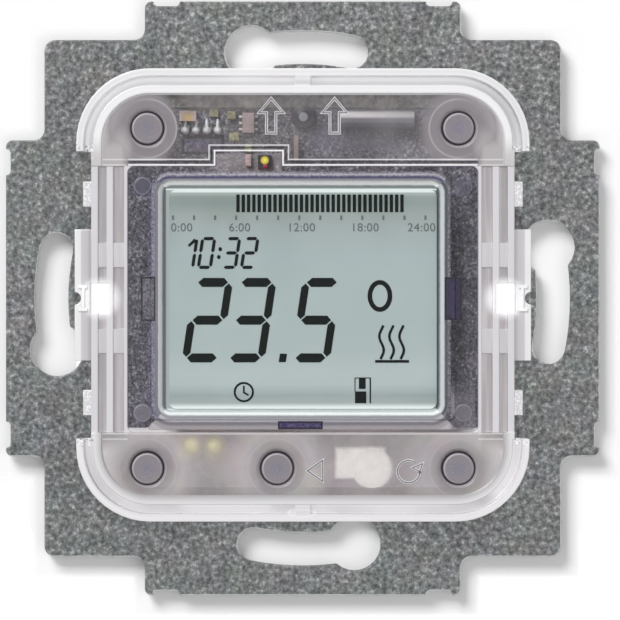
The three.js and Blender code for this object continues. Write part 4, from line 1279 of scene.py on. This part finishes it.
reading = {
    "figures": [("2", -11.31), ("3", -6.16), ("5", 1.57)],
    "z": -2.58,
    "halfWidth": 1.89,
    "halfHeight": 4.47,
    "level": 0.53,
    "upright": 0.45,
    "gap": 0.13,
}
clock = {
    "figures": [("0", -11.42), ("3", -8.47), ("2", -6.31), ("1", -13.52)],
    "z": 5.38,
    "halfWidth": 0.71,
    "halfHeight": 1.70,
    "level": 0.19,
    "upright": 0.19,
    "gap": 0.06,
}
scale = {
    "bars": (32, -7.69, 0.6265, 0.2, 10.22, 12.3),
    "ticks": (13, -15.39, 2.492, 0.12, 9.3, 9.82),
    "hours": [("0:00", -14.36), ("6:00", -7.5), ("12:00", -0.2), ("18:00", 7.34), ("24:00", 14.05)],
    "hourRow": 8.42,
    "hourHeight": 0.98,
}
symbols = {
    "point": [(-2.87, -7.55), (-2.03, -7.55), (-1.89, -6.55), (-2.73, -6.55)],
    "colon": [(-9.8, 5.83), (-9.97, 4.9)],
    "flag": [(-13.55, 6.2), (-12.72, 6.95)],
    "ring": (9.12, 0.29, 1.19, 1.61),
    "waves": (9.31, 10.5, 11.69),
    "waveSpan": (-3.2, -7.2),
    "waveSway": 0.26,
    "wavePitch": 3.27,
    "waveStart": -4.5,
    "bars": [
        (8.55, 12.57, -7.62, -7.3), (6.63, 7.43, -10.72, -9.4), (6.17, 7.5, -12.42, -11.03),
        (7.9, 8.06, -12.42, -9.4), (6.12, 6.22, -11.1, -9.4), (6.12, 8.06, -9.48, -9.38),
    ],
    "dial": (-7.0, -11.1, 1.08, 1.08),
    "hands": [(-7.0, -10.35), (-7.0, -11.15), (-6.45, -11.45)],
}


# An ellipse: point = centre + (rx cos t, rz sin t).
def disc(cx, cz, rx, rz, count=24):
    t = np.linspace(0, 2 * math.pi, count, endpoint=False)
    return np.stack([cx + rx * np.cos(t), cz + rz * np.sin(t)], axis=-1)


# A rectangle as its four corners in turn.
def rectangle(x0, x1, z0, z1):
    return [(x0, z0), (x1, z0), (x1, z1), (x0, z1)]


# Text in the plain built-in face, centred on (cx, cz), as closed blocks from front to back. A way
# of -1 turns it round to be read from behind.
def numerals(text, cx, cz, height, front=inkFront, back=inkBack, way=1):
    curve = bpy.data.curves.new("numerals", "FONT")
    curve.body, curve.size, curve.align_x = text, 1.0, "CENTER"
    curve.space_character = 1.08
    made = placed("numerals", curve)
    bpy.context.view_layer.update()
    mesh = bpy.data.meshes.new_from_object(made.evaluated_get(bpy.context.evaluated_depsgraph_get()))
    bpy.data.objects.remove(made)
    shape = bmesh.new()
    shape.from_mesh(mesh)
    bmesh.ops.remove_doubles(shape, verts=shape.verts, dist=1e-4)
    grown = bmesh.ops.extrude_face_region(shape, geom=shape.faces[:], use_keep_orig=True)["geom"]
    behind = [spot for spot in grown if isinstance(spot, bmesh.types.BMVert)]
    bmesh.ops.translate(shape, verts=behind, vec=(0, 0, 1))
    shape.to_mesh(mesh)
    shape.free()
    flat = np.empty(3 * len(mesh.vertices))
    mesh.vertices.foreach_get("co", flat)
    flat = flat.reshape(-1, 3)
    low, high = flat[:, 1].min(), flat[:, 1].max()
    scale = height / (high - low)
    x = cx + way * flat[:, 0] * scale
    y = front + (back - front) * flat[:, 2]
    z = cz + (flat[:, 1] - (low + high) / 2) * scale
    return outwards(pointsOf(x, y, z), [list(face.vertices) for face in mesh.polygons])


# The same mesh with its faces turned to point outwards.
def outwards(points, faces):
    mesh = bpy.data.meshes.new("outwards")
    mesh.from_pydata(points.tolist(), [], faces)
    shape = bmesh.new()
    shape.from_mesh(mesh)
    bmesh.ops.recalc_face_normals(shape, faces=shape.faces[:])
    rows = [[spot.index for spot in face.verts] for face in shape.faces]
    shape.free()
    return points, rows


# A row of upright bars, given as count, first x, pitch, half width, bottom and top.
def barRow(count, start, pitch, half, bottom, top):
    places = [start + i * pitch for i in range(count)]
    return [inkPlate(rectangle(x - half, x + half, bottom, top)) for x in places]


# The dark figures and symbols, and the grey scale. A wave is
# x = cx - sway cos(2 pi (z - start) / pitch).
def displayInk():
    def line(path, half, closed=False):
        return ribbon(path, half, inkFront, inkBack, closed)

    dark = []
    for size in (reading, clock):
        for text, cx in size["figures"]:
            dark += figure(text, cx, size)
    dark += [inkPlate(symbols["point"]), line(symbols["flag"], [0.13, 0.2])]
    dark += [inkPlate(disc(cx, cz, 0.22, 0.24)) for cx, cz in symbols["colon"]]
    dark += barRow(*scale["bars"])
    dark.append(line(disc(*symbols["ring"], 40), 0.27, closed=True))
    z = np.linspace(*symbols["waveSpan"], 24)
    turn = 2 * math.pi * (z - symbols["waveStart"]) / symbols["wavePitch"]
    sway = symbols["waveSway"] * np.cos(turn)
    dark += [line(np.stack([cx - sway, z], axis=-1), 0.15) for cx in symbols["waves"]]
    dark += [inkPlate(rectangle(*box)) for box in symbols["bars"]]
    dark += [line(disc(*symbols["dial"], 40), 0.12, closed=True), line(symbols["hands"], 0.1)]
    grey = barRow(*scale["ticks"])
    grey += [numerals(text, x, scale["hourRow"], scale["hourHeight"]) for text, x in scale["hours"]]
    for name, shapes, finish in (("display_figures", dark, ink), ("display_scale", grey, greyInk)):
        piece(name, *together(*shapes), "lcd_front_polarizer", finish)


displayInk()
print("display made")


board = {
    "mask": (101, 99, 109),
    "maskDark": (30, 28, 38),
    "maskLight": (186, 182, 192),
    "header": (-14.5, -9.3, 17.1, 19.4),
    "notch": (-10.3, -2.5, 14.6, 17.3),
    "bluish": (1.0, 12.0, 17.7, 20.4),
    "pins": [-14.05, -12.75, -11.45, -10.15],
    "pinRow": 20.0,
    "chips": [
        (-10.6, 22.1, 0.55, 0.5), (-8.5, 21.8, 0.5, 0.5), (-8.2, 19.25, 0.6, 0.5),
        (-6.5, 17.9, 0.42, 0.5), (-6.5, 23.1, 0.5, 0.4),
    ],
    "chipTone": (158, 156, 128),
    "driver": (-6.5, 20.9, 0.72, 1.2),
    "driverTone": (178, 159, 161),
    "filter": (-6.5, 16.45, 0.36, 0.72),
    "post": (-0.8, 17.9, 0.3, 1.5),
    "boss": (0.05, 21.6),
    "face": -3.99,
    "solder": (246, 247, 250),
    "tin": (206, 207, 209),
    "bossTone": (54, 54, 62),
    "bossHeart": (158, 160, 166),
    "headerTint": (112, 102, 138),
    "headerLine": (30, 28, 38),
    "notchTint": (178, 172, 174),
    "bluishTint": (80, 79, 104),
    "footPaintedLight": (188, 181, 186),
    "footHighlight": (255, 250, 253),
}


# Solder mask: tone = ramp(fine noise + 0.25 slow noise), with dark and light specks at its ends.
def maskFinish(name, tone, dark, light):
    finish = Finish(name, roughness=0.4)
    fine = finish.noise(3.1, 3, 0.75)
    slow = finish.noise(0.3)
    stops = [(0.34, dark), (0.43, toned(tone, -22)), (0.5, tone), (0.57, toned(tone, 18)), (0.68, light)]
    finish.colour = finish.ramp(fine + (slow - 0.5) * 0.25, stops)
    finish.over(0.12, finish.noise(1.0, output=1), "OVERLAY")
    finish.bump(fine, 0.15, 0.03)
    return finish


# The display's board: a dark outline where the header stands, a bluish stretch under the crystal,
# and painted light in the gap under the display's frame: a pale strip and a nearly white line.
def displayBoardFinish():
    finish = maskFinish("front_circuit_board", board["mask"], board["maskDark"], board["maskLight"])
    away = boxDistance(finish, *board["header"])
    finish.over(away.fall(-0.5, -0.3) * 0.35, board["headerTint"])
    finish.over(away.between(-0.40, -0.05, 0.08) * 0.8, board["headerLine"])
    finish.over(boxDistance(finish, *board["notch"]).fall(-0.1, 0.1) * 0.4, board["notchTint"])
    away = boxDistance(finish, *board["bluish"])
    finish.over(away.fall(-0.6, 0.6) * 0.55, board["bluishTint"])
    # Painted light in the gap under the display's frame: a pale strip and a nearly white line.
    finish.over(finish.z.fall(-15.55, -15.25) * 0.85, board["footPaintedLight"])
    finish.over(finish.z.between(-15.98, -15.42, 0.06), board["footHighlight"])
    return finish


# Bright metal with drawn lines along one way: value = noise stretched 12 times along it.
def drawnMetal(name, tone, roughness, stretch, metallic=0.9, spread=0.10):
    finish = satinPlastic(name, tone, roughness, 5.0, 0.01, spread, metallic=metallic)
    lines = finish.noise(6.0, rough=0.6, stretch=stretch)
    finish.over(lines.rise(0.35, 0.65) * 0.35, toned(tone, times=0.72))
    finish.set("Roughness", roughness - 0.08 + 0.2 * lines)
    return finish


# The small chips: low blocks with round edges.
def chipParts():
    return together(*[smallBlock(x, z, w, h, 0.12, -4.5, board["face"]) for x, z, w, h in board["chips"]])


# Each joint: a round bright foot with a slimmer tail above it.
def solderParts():
    shapes = []
    for x in board["pins"]:
        shapes.append(dome(x, board["pinRow"], 0.5, 0.5, -4.95, board["face"]))
        shapes.append(dome(x, board["pinRow"] + 0.75, 0.24, 0.72, -4.5, board["face"]))
    x, z, w = board["driver"][:3]
    for foot in (x - w - 0.2, x + w + 0.2):
        for rise in (-0.75, 0.0, 0.75):
            shapes.append(smallBlock(foot, z + rise, 0.2, 0.14, 0.04, -4.25, board["face"], 0.06))
    return together(*shapes)


# The driver, the filter under it and a post, each a block that stands to its own level.
def driverParts():
    fronts = {"driver": -5.0, "filter": -4.8, "post": -5.4}
    return together(*[smallBlock(*board[part], 0.1, y, board["face"]) for part, y in fronts.items()])


# A boss: a stepped profile turned round its axis.
def bossParts():
    profile = [(0.0, -5.1), (0.5, -5.1), (0.62, -5.05), (0.75, -4.95), (1.2, -4.95), (1.38, -4.88)]
    profile += [(1.45, -4.7), (1.45, board["face"]), (0.0, board["face"])]
    return turned(profile, *board["boss"], 40)


# The legs of the controller: flat feet round its four sides.
def legParts():
    low, high = corners("microcontroller")
    cx, cz = middleOf("microcontroller")
    out = (high[0] - low[0]) / 2 + 0.45
    levels = (0.05, -4.2, board["face"], 0.06)
    shapes = []
    for step in np.arange(-5, 6) * 0.8:
        for side in (-out, out):
            shapes.append(smallBlock(cx + side, cz + step, 0.5, 0.16, *levels))
            shapes.append(smallBlock(cx + step, cz + side, 0.16, 0.5, *levels))
    return together(*shapes)


solder = drawnMetal("solder", board["solder"], 0.3, (1, 1, 1), 0.15, 0.04)
chipCeramic = satinPlastic("chip_ceramic", board["chipTone"], 0.4, 3.0, 0.02, 0.22)
driverCase = satinPlastic("driver_case", board["driverTone"], 0.5, 4.0, 0.02, 0.10)
bossPlastic = satinPlastic("boss_plastic", board["bossTone"], 0.35, 4.0, 0.02, 0.12)
bossPlastic.over(nearest(bossPlastic, [board["boss"]]).fall(0.45, 0.6), board["bossHeart"])
for name, shape, node, finish in (
    ("chip_parts", chipParts(), "chip_capacitor", chipCeramic),
    ("solder_joints", solderParts(), "header_pins", solder),
    ("driver_parts", driverParts(), "microcontroller", driverCase),
    ("board_boss", bossParts(), "microcontroller", bossPlastic),
    ("controller_legs", legParts(), "header_pins", solder),
):
    piece(name, *shape, node, finish)
finishNode("display_board", displayBoardFinish())


# The streak and the glow are a painted reflection on the can.
crystal = {
    "can": (98, 96, 110),
    "streak": (246, 242, 242),
    "glow": (158, 152, 156),
    "reflectionRow": (21.45, 22.25),
    "reflectionFade": (5.0, 15.0),
    "faintReflectionRow": (20.9, 21.3),
}


# A can of drawn metal with a painted reflection: a bright streak along its upper half that fades to
# the right, and a faint band under it.
def crystalFinish():
    finish = satinPlastic("crystal_can", crystal["can"], 0.35, 5.0, 0.01, 0.14, metallic=0.2)
    fade = finish.x.rise(*crystal["reflectionFade"]) * 0.5
    streak = finish.z.between(*crystal["reflectionRow"], 0.22) * (1 - fade)
    finish.over(streak, crystal["streak"])
    finish.over(finish.z.between(*crystal["faintReflectionRow"], 0.15) * 0.4, crystal["glow"])
    return finish


cell = {"sleeve": (238, 233, 229), "roll": (196, 190, 188), "cross": (180, 176, 172)}


# The cell: a pale sleeve with a rolled edge at radius 2.1 and a faint cross in its middle.
def cellFinish():
    finish = satinPlastic("capacitor_cell", cell["sleeve"], 0.4, 4.0, 0.01, 0.03)
    cx, cz = cover["cell"]
    near = nearest(finish, [(cx, cz)])
    finish.over(near.between(2.0, 2.2, 0.05) * 0.5, cell["roll"])
    cross = abs(finish.x - cx).least(abs(finish.z - cz))
    finish.over(cross.fall(0.05, 0.12) * near.fall(0.6, 0.8) * 0.4, cell["cross"])
    return finish


bead = {"tone": (240, 230, 186), "rim": (212, 196, 138)}


# A dipped bead: amber, paler in its middle.
def beadFinish():
    finish = satinPlastic("sensor_bead", bead["tone"], 0.22, 2.0, 0.03, 0.06)
    near = nearest(finish, cover["beads"])
    finish.over(near.rise(0.5, 1.05) * 0.6, bead["rim"])
    return finish


statusLamp = {
    "case": (60, 54, 62),
    "lens": (224, 208, 66),
    "heart": (250, 242, 150),
    "mark": (186, 70, 86),
    "lensPlace": (-4.55, 16.45),
    "markPlace": (-4.5, 15.7),
}


# A small lamp: dark case, yellow lens and a red mark under it.
def lampFinish():
    finish = satinPlastic("led_lens", statusLamp["case"], 0.3, 4.0, 0.01, 0.12)
    yellow = nearest(finish, [statusLamp["lensPlace"]])
    finish.over(yellow.fall(0.36, 0.56), statusLamp["lens"])
    finish.over(yellow.fall(0.05, 0.3), statusLamp["heart"])
    finish.over(nearest(finish, [statusLamp["markPlace"]]).fall(0.18, 0.34), statusLamp["mark"])
    return finish


ceramic = {
    "tone": (192, 166, 150),
    "heart": (206, 182, 108),
    "ends": (196, 184, 182),
    "heartPlace": (-13.6, 21.5),
    "middle": -13.7,
}


# A ceramic block: tan, tinned at both ends, with a warm yellow middle.
def ceramicFinish():
    finish = satinPlastic("capacitor_ceramic", ceramic["tone"], 0.4, 4.0, 0.02, 0.10)
    finish.over(nearest(finish, [ceramic["heartPlace"]]).fall(0.15, 0.6) * 0.7, ceramic["heart"])
    finish.over(abs(finish.x - ceramic["middle"]).rise(0.68, 0.76), ceramic["ends"])
    return finish


beadCoat = beadFinish()
second = dome(*cover["beads"][1], 1.0, 1.0, -6.0, board["face"])
piece("second_bead", *second, "temperature_sensor", beadCoat)
finishNode("crystal", crystalFinish())
finishNode("header_pins", drawnMetal("pin_tin", board["tin"], 0.3, (1, 12, 1)))
finishNode("backup_capacitor", cellFinish())
frame["nodes"]["backup_capacitor"].visible_shadow = False
finishNode("temperature_sensor", beadCoat)
finishNode("status_led", lampFinish())
finishNode("chip_capacitor", ceramicFinish())
print("display board made")


# Parts inside the housing and behind the display, each with the marks that such a part has.
inside = {
    "epoxy": (46, 46, 49),
    "brass": (202, 198, 182),
    "copper": (204, 186, 168),
    "pitch": 5.6,
    "screwRow": -16.9,
    "housingScrews": (23.2, 11.8),
}


controller = {"dimple": (28, 28, 30), "dimpleRing": (84, 84, 88)}


# Black epoxy. The controller has a round dimple near one corner and a frosted top.
def controllerFinish():
    finish = satinPlastic("black_epoxy", inside["epoxy"], 0.5, 9.0, 0.02, 0.14)
    low, high = corners("microcontroller")
    near = nearest(finish, [(low[0] + 1.2, high[2] - 1.2)])
    finish.over(near.fall(0.40, 0.46), controller["dimple"])
    finish.over(near.between(0.44, 0.54, 0.03) * 0.6, controller["dimpleRing"])
    finish.bump(finish.fine * 0.2 - near.fall(0.36, 0.46), 0.5, 0.1)
    return finish


switch = {
    "steel": (196, 197, 200),
    "line": (158, 159, 163),
    "ring": (96, 97, 101),
    "sheetFoot": (-5.56, -5.50),
}


# A key switch: black case under a steel sheet with a ring stamped round the stem.
def switchFinish():
    finish = satinPlastic("switch_case", inside["epoxy"], 0.5, 8.0, 0.02, 0.12)
    sheet = finish.y.fall(*switch["sheetFoot"])
    near = nearest(finish, cover["buttons"])
    lines = finish.noise(5.0, rough=0.6, stretch=(10, 1, 1))
    finish.over(sheet, finish.mix(lines, switch["line"], toned(switch["steel"], 30)))
    finish.over(sheet * near.between(1.35, 1.5, 0.04) * 0.7, switch["ring"])
    finish.set("Metallic", sheet * 0.85)
    finish.set("Roughness", 0.55 - 0.3 * sheet + 0.1 * lines)
    return finish


stem = {"tone": (230, 228, 222), "ring": (196, 192, 184), "rim": (176, 172, 166)}


# White plastic stem with the rings that a turned mould leaves: value = sin(34 r).
def stemFinish():
    finish = satinPlastic("stem_plastic", stem["tone"], 0.4, 7.0, 0.01, 0.02)
    near = nearest(finish, cover["buttons"])
    rings = finish.node("ShaderNodeMath", {"operation": "SINE"}, {0: near * 34.0})
    finish.over(rings.rise(0.2, 1.0) * 0.25, stem["ring"])
    finish.over(near.rise(0.86, 0.96) * 0.3, stem["rim"])
    return finish


headerSocket = {"groove": (20, 20, 22)}


# A socket strip: black plastic with a fine groove between its places.
def socketFinish():
    finish = satinPlastic("header_socket", inside["epoxy"], 0.55, 7.0, 0.02, 0.12)
    groove = finish.x.toLine(1.3, board["pins"][0] + 0.65).fall(0.05, 0.10)
    finish.over(groove * 0.8, headerSocket["groove"])
    finish.bump(finish.fine * 0.2 - groove, 0.4, 0.06)
    return finish


rearGlass = {"tone": (178, 192, 190), "seal": (120, 132, 130)}


# Cell glass at the back: clear green grey with a printed seal line round its edge.
def rearGlassFinish():
    finish = satinPlastic("rear_glass", rearGlass["tone"], 0.1, 2.0, 0.004, 0.02)
    away = nodeDistance(finish, "lcd_rear_glass")
    finish.over(away.between(-0.9, -0.5, 0.05) * 0.6, rearGlass["seal"])
    return finish


reflector = {"tone": (192, 200, 198), "line": (224, 230, 228)}


# Silvered film with a fine sparkle and faint rolling lines: value = noise stretched 14 times.
def reflectorFinish():
    finish = satinPlastic("reflector_film", reflector["tone"], 0.35, 11.0, 0.01, 0.04, metallic=0.5)
    finish.over(finish.noise(5.0, 1, stretch=(1, 1, 14)).rise(0.5, 0.7) * 0.3, reflector["line"])
    return finish


rubber = {"tone": (206, 172, 164), "core": (44, 40, 42)}


# Contact rubber: pink silicone with a core of thin black and pale layers.
def rubberFinish():
    finish = satinPlastic("elastomer", rubber["tone"], 0.75, 6.0, 0.02, 0.05)
    core = (finish.z - displayLevel).toLine(28.0, 14.06)
    layer = finish.x.toLine(0.25).fall(0.04, 0.08)
    finish.over(core.fall(0.22, 0.30) * (0.35 + 0.6 * layer), rubber["core"])
    return finish


backBoard = {
    "tone": (63, 107, 74),
    "dark": (34, 66, 44),
    "light": (150, 186, 150),
    "trace": (112, 158, 108),
    "pad": (204, 204, 200),
}


# The back board: green mask, paler traces on a 2.54 mm grid broken up by noise, and solder pads.
def backBoardFinish():
    finish = maskFinish("rear_circuit_board", backBoard["tone"], backBoard["dark"], backBoard["light"])
    across, up = finish.x.toLine(2.54), finish.z.toLine(2.54)
    where = finish.noise(0.16, 1)
    traces = across.fall(0.22, 0.30) * where.rise(0.49, 0.51)
    traces = traces.most(up.fall(0.22, 0.30) * where.fall(0.47, 0.49))
    finish.over(traces * 0.55, backBoard["trace"])
    pads = length(across, up).fall(0.50, 0.58)
    finish.over(pads * finish.noise(0.3, 1).rise(0.52, 0.54), backBoard["pad"])
    return finish


relay = {"tone": (38, 48, 70), "line": (18, 24, 38), "edge": (84, 96, 124)}


# Relay: a blue case with a sunk panel line on its top and a seam above the base.
def relayFinish():
    finish = satinPlastic("relay_case", relay["tone"], 0.35, 5.0, 0.01, 0.10)
    away = nodeDistance(finish, "relay")
    line = away.between(-1.1, -0.95, 0.04).most(finish.y.between(8.3, 8.45, 0.04))
    finish.over(line * 0.8, relay["line"])
    finish.over(abs(away + 0.05).fall(0.0, 0.12) * 0.4, relay["edge"])
    finish.bump(finish.fine * 0.15 - line, 0.5, 0.08)
    return finish


filmCapacitor = {"tone": (184, 164, 62), "resin": (128, 104, 40), "edge": (224, 208, 120)}


# Film capacitor: a yellow box whose front is filled with darker resin.
def filmCapacitorFinish():
    finish = satinPlastic("film_capacitor_case", filmCapacitor["tone"], 0.4, 4.0, 0.02, 0.07)
    finish.over(finish.y.fall(7.6, 7.9) * 0.7, filmCapacitor["resin"])
    away = nodeDistance(finish, "film_capacitor")
    finish.over(abs(away + 0.08).fall(0.0, 0.15) * 0.5, filmCapacitor["edge"])
    return finish


electrolytic = {
    "sleeve": (42, 47, 72),
    "stripe": (196, 200, 208),
    "bareTop": (206, 208, 211),
    "vent": (110, 112, 116),
}


# Electrolytic: a dark sleeve with a pale stripe down one side, and a bare vented top.
def electrolyticFinish():
    finish = satinPlastic("electrolytic_sleeve", electrolytic["sleeve"], 0.3, 5.0, 0.01, 0.10)
    cx, cz = middleOf("electrolytic_capacitor")
    top = corners("electrolytic_capacitor")[1][1]
    near = nearest(finish, [(cx, cz)])
    stripe = abs(finish.z - cz).fall(1.2, 1.3) * (finish.x - cx).rise(2.0, 2.1)
    finish.over(stripe, electrolytic["stripe"])
    dashes = abs(finish.z - cz).fall(0.2, 0.26) * finish.y.toLine(2.6).fall(0.7, 0.76)
    finish.over(stripe * dashes, electrolytic["sleeve"])
    bare = finish.y.rise(top - 0.06, top - 0.02) * near.fall(4.2, 4.3)
    finish.over(bare, electrolytic["bareTop"])
    cross = abs(finish.x - cx).least(abs(finish.z - cz)).fall(0.05, 0.12) * near.fall(3.2, 3.3)
    finish.over(bare * cross, electrolytic["vent"])
    finish.set("Metallic", bare * 0.8)
    finish.bump(finish.fine * 0.1 - bare * cross, 0.5, 0.1)
    return finish


varistor = {"tone": (58, 106, 162), "run": (104, 150, 200), "foot": (186, 188, 190)}


# Varistor: a dipped disc with paler runs, and a thin pale coating where it meets the board.
def varistorFinish():
    finish = satinPlastic("varistor_coating", varistor["tone"], 0.28, 2.0, 0.04, 0.10)
    runs = finish.noise(0.9, 3, 0.6, stretch=(1, 0.3, 1))
    finish.over(runs.rise(0.5, 0.7) * 0.35, varistor["run"])
    finish.over(finish.y.fall(7.6, 8.6) * 0.6, varistor["foot"])
    return finish


fuse = {"tone": (112, 48, 38), "ring": (206, 180, 160), "top": (70, 30, 26)}


# Fuse: a brown drum with a paler printed ring and a darker top.
def fuseFinish():
    finish = satinPlastic("fuse_body", fuse["tone"], 0.38, 5.0, 0.02, 0.10)
    finish.over(finish.y.between(9.3, 9.7, 0.05) * 0.7, fuse["ring"])
    finish.over(finish.y.rise(14.5, 14.75) * 0.5, fuse["top"])
    return finish


terminalBlock = {"tone": (64, 66, 70), "groove": (34, 35, 38), "worn": (102, 104, 108)}


# Terminal block: dark grey plastic, a groove between the ways and paler worn edges.
def blockFinish():
    finish = satinPlastic("terminal_plastic", terminalBlock["tone"], 0.5, 8.0, 0.02, 0.10)
    groove = finish.x.toLine(inside["pitch"], inside["pitch"] / 2).fall(0.10, 0.18)
    finish.over(groove * 0.7, terminalBlock["groove"])
    finish.over(finish.noise(1.2, 3, 0.6).rise(0.56, 0.7) * 0.3, terminalBlock["worn"])
    finish.bump(finish.fine * 0.15 - groove, 0.4, 0.08)
    return finish


screwHead = {"zinc": (152, 153, 150), "ring": (150, 150, 148), "bloom": (206, 200, 172)}


# A screw head: rings turned into zinc plate round its axis, value = sin(26 r), and a yellowish bloom.
# What reach gives is the distance from the axis of the nearest screw.
def screwFinish(name, reach):
    finish = Finish(name, metallic=0.85)
    zinc = screwHead["zinc"]
    finish.colour = finish.mix(finish.noise(1.6, rough=0.6), toned(zinc, -28), toned(zinc, 24))
    rings = finish.node("ShaderNodeMath", {"operation": "SINE"}, {0: reach(finish) * 26.0})
    finish.over(rings.rise(0.0, 1.0) * 0.3, screwHead["ring"])
    finish.over(finish.noise(0.9).rise(0.5, 0.7) * 0.3, screwHead["bloom"])
    finish.set("Roughness", 0.3 + 0.1 * rings)
    finish.bump(rings, 0.2, 0.02)
    return finish


# How far a spot lies from the axis of the nearest clamp screw, which stand in a row.
def toTerminalScrew(finish):
    return length(finish.x.toLine(inside["pitch"]), finish.z - inside["screwRow"])


# The same for the four housing screws, which stand at the corners of a rectangle.
def toHousingScrew(finish):
    across, up = inside["housingScrews"]
    return length(abs(finish.x) - across, abs(finish.z) - up)


for node, finish in (
    ("microcontroller", controllerFinish()),
    ("header_socket", socketFinish()),
    ("lcd_rear_glass", rearGlassFinish()),
    ("lcd_reflector", reflectorFinish()),
    ("power_board", backBoardFinish()),
    ("relay", relayFinish()),
    ("film_capacitor", filmCapacitorFinish()),
    ("electrolytic_capacitor", electrolyticFinish()),
    ("varistor", varistorFinish()),
    ("fuse", fuseFinish()),
    ("terminal_block", blockFinish()),
):
    finishNode(node, finish)
brass = drawnMetal("nickel_plated_brass", inside["brass"], 0.3, (1, 12, 1))
copper = drawnMetal("tinned_copper", inside["copper"], 0.35, (12, 1, 1))
for pattern, names, finish in (
    ("{}_switch", keys, switchFinish()),
    ("{}_switch_stem", keys, stemFinish()),
    ("contact_strip_{}", ("top", "bottom"), rubberFinish()),
    ("terminal_screw_{}", "12345", screwFinish("zinc_plated_steel", toTerminalScrew)),
    ("terminal_cage_{}", "12345", brass),
    ("contact_bar_{}", "12345", copper),
    ("housing_screw_{}", "1234", screwFinish("housing_screw_zinc", toHousingScrew)),
):
    for name in names:
        finishNode(pattern.format(name), finish)
print("inner parts finished")


housing = {
    "tone": (222, 220, 214),
    "partingLine": (176, 174, 168),
    "smoothTone": (234, 232, 228),
    "sunkWallShade": (150, 147, 140),
    "pushedTone": (206, 203, 196),
    "grainTone": (198, 196, 189),
    "edge": 0.25,
    "label": (0.0, 6.0, 15.0, 6.5, 1.2),
    "labelDepth": 0.4,
    "ejectorDepth": 0.3,
    "ejectors": [(-16.0, 17.5), (16.0, 17.5), (-16.0, -6.0), (16.0, -6.0)],
    "numberRow": -13.4,
    "numberHeight": 1.9,
    "numberDepth": 0.35,
    "seam": (6.9, 7.05),
    "backLevel": (25.5, 25.6),
    "sunkLevel": (25.5, 25.92),
}


# A rounded rectangle as one closed row of points, from loops.
def roundedOutline(cx, cz, w, h, r):
    points = loops([(w, h, r, 0.0)], cx, cz, steps=8, closed=False)[0]
    return points[:, [0, 2]]


# What is cut out of the back: a bare label field, four ejector marks and the numbers 1 to 5.
def backCarving():
    back = corners("rear_housing")[1][1]
    shapes = [inkPlate(roundedOutline(*housing["label"]), back - housing["labelDepth"], back + 0.3)]
    for cx, cz in housing["ejectors"]:
        shapes.append(inkPlate(disc(cx, cz, 1.6, 1.6, 40), back - housing["ejectorDepth"], back + 0.3))
    for i in range(5):
        place = (2 - i) * inside["pitch"], housing["numberRow"], housing["numberHeight"]
        shapes.append(numerals(str(i + 1), *place, back - housing["numberDepth"], back + 0.3, way=-1))
    return together(*shapes)


# Spark-eroded plastic: a fine even grain, smooth in the label field, and a parting line round it.
# The walls of the sunk marks on the back are darkened with painted shade.
def housingFinish():
    finish = satinPlastic("housing_plastic", housing["tone"], 0.55, 9.0, 0.03, 0.012)
    cx, cz, w, h = housing["label"][:4]
    onBack = finish.y.rise(*housing["backLevel"])
    smooth = boxDistance(finish, cx - w, cx + w, cz - h, cz + h).fall(-0.1, 0.1) * onBack
    line = finish.y.between(*housing["seam"], 0.03)
    finish.over(line * 0.5, housing["partingLine"])
    finish.over(smooth * 0.6, housing["smoothTone"])
    # Painted shade on the walls of the sunk marks.
    sunk = finish.y.between(*housing["sunkLevel"], 0.03) * abs(finish.normalY).fall(0.3, 0.8)
    finish.over(sunk * 0.6, housing["sunkWallShade"])
    pushed = nearest(finish, housing["ejectors"]).fall(1.5, 1.6)
    finish.over(pushed * onBack * 0.6, housing["pushedTone"])
    grain = finish.noise(7.0, 3, 0.7)
    finish.over(grain.rise(0.55, 0.75) * 0.25, housing["grainTone"])
    finish.set("Roughness", 0.6 - 0.18 * smooth + 0.1 * finish.fine)
    finish.bump(grain * (1 - 0.85 * smooth) - line, 0.3, 0.05)
    return finish


softened("rear_housing", housingFinish(), housing["edge"], segments=2, angle=30, carve=backCarving())
print("housing made")
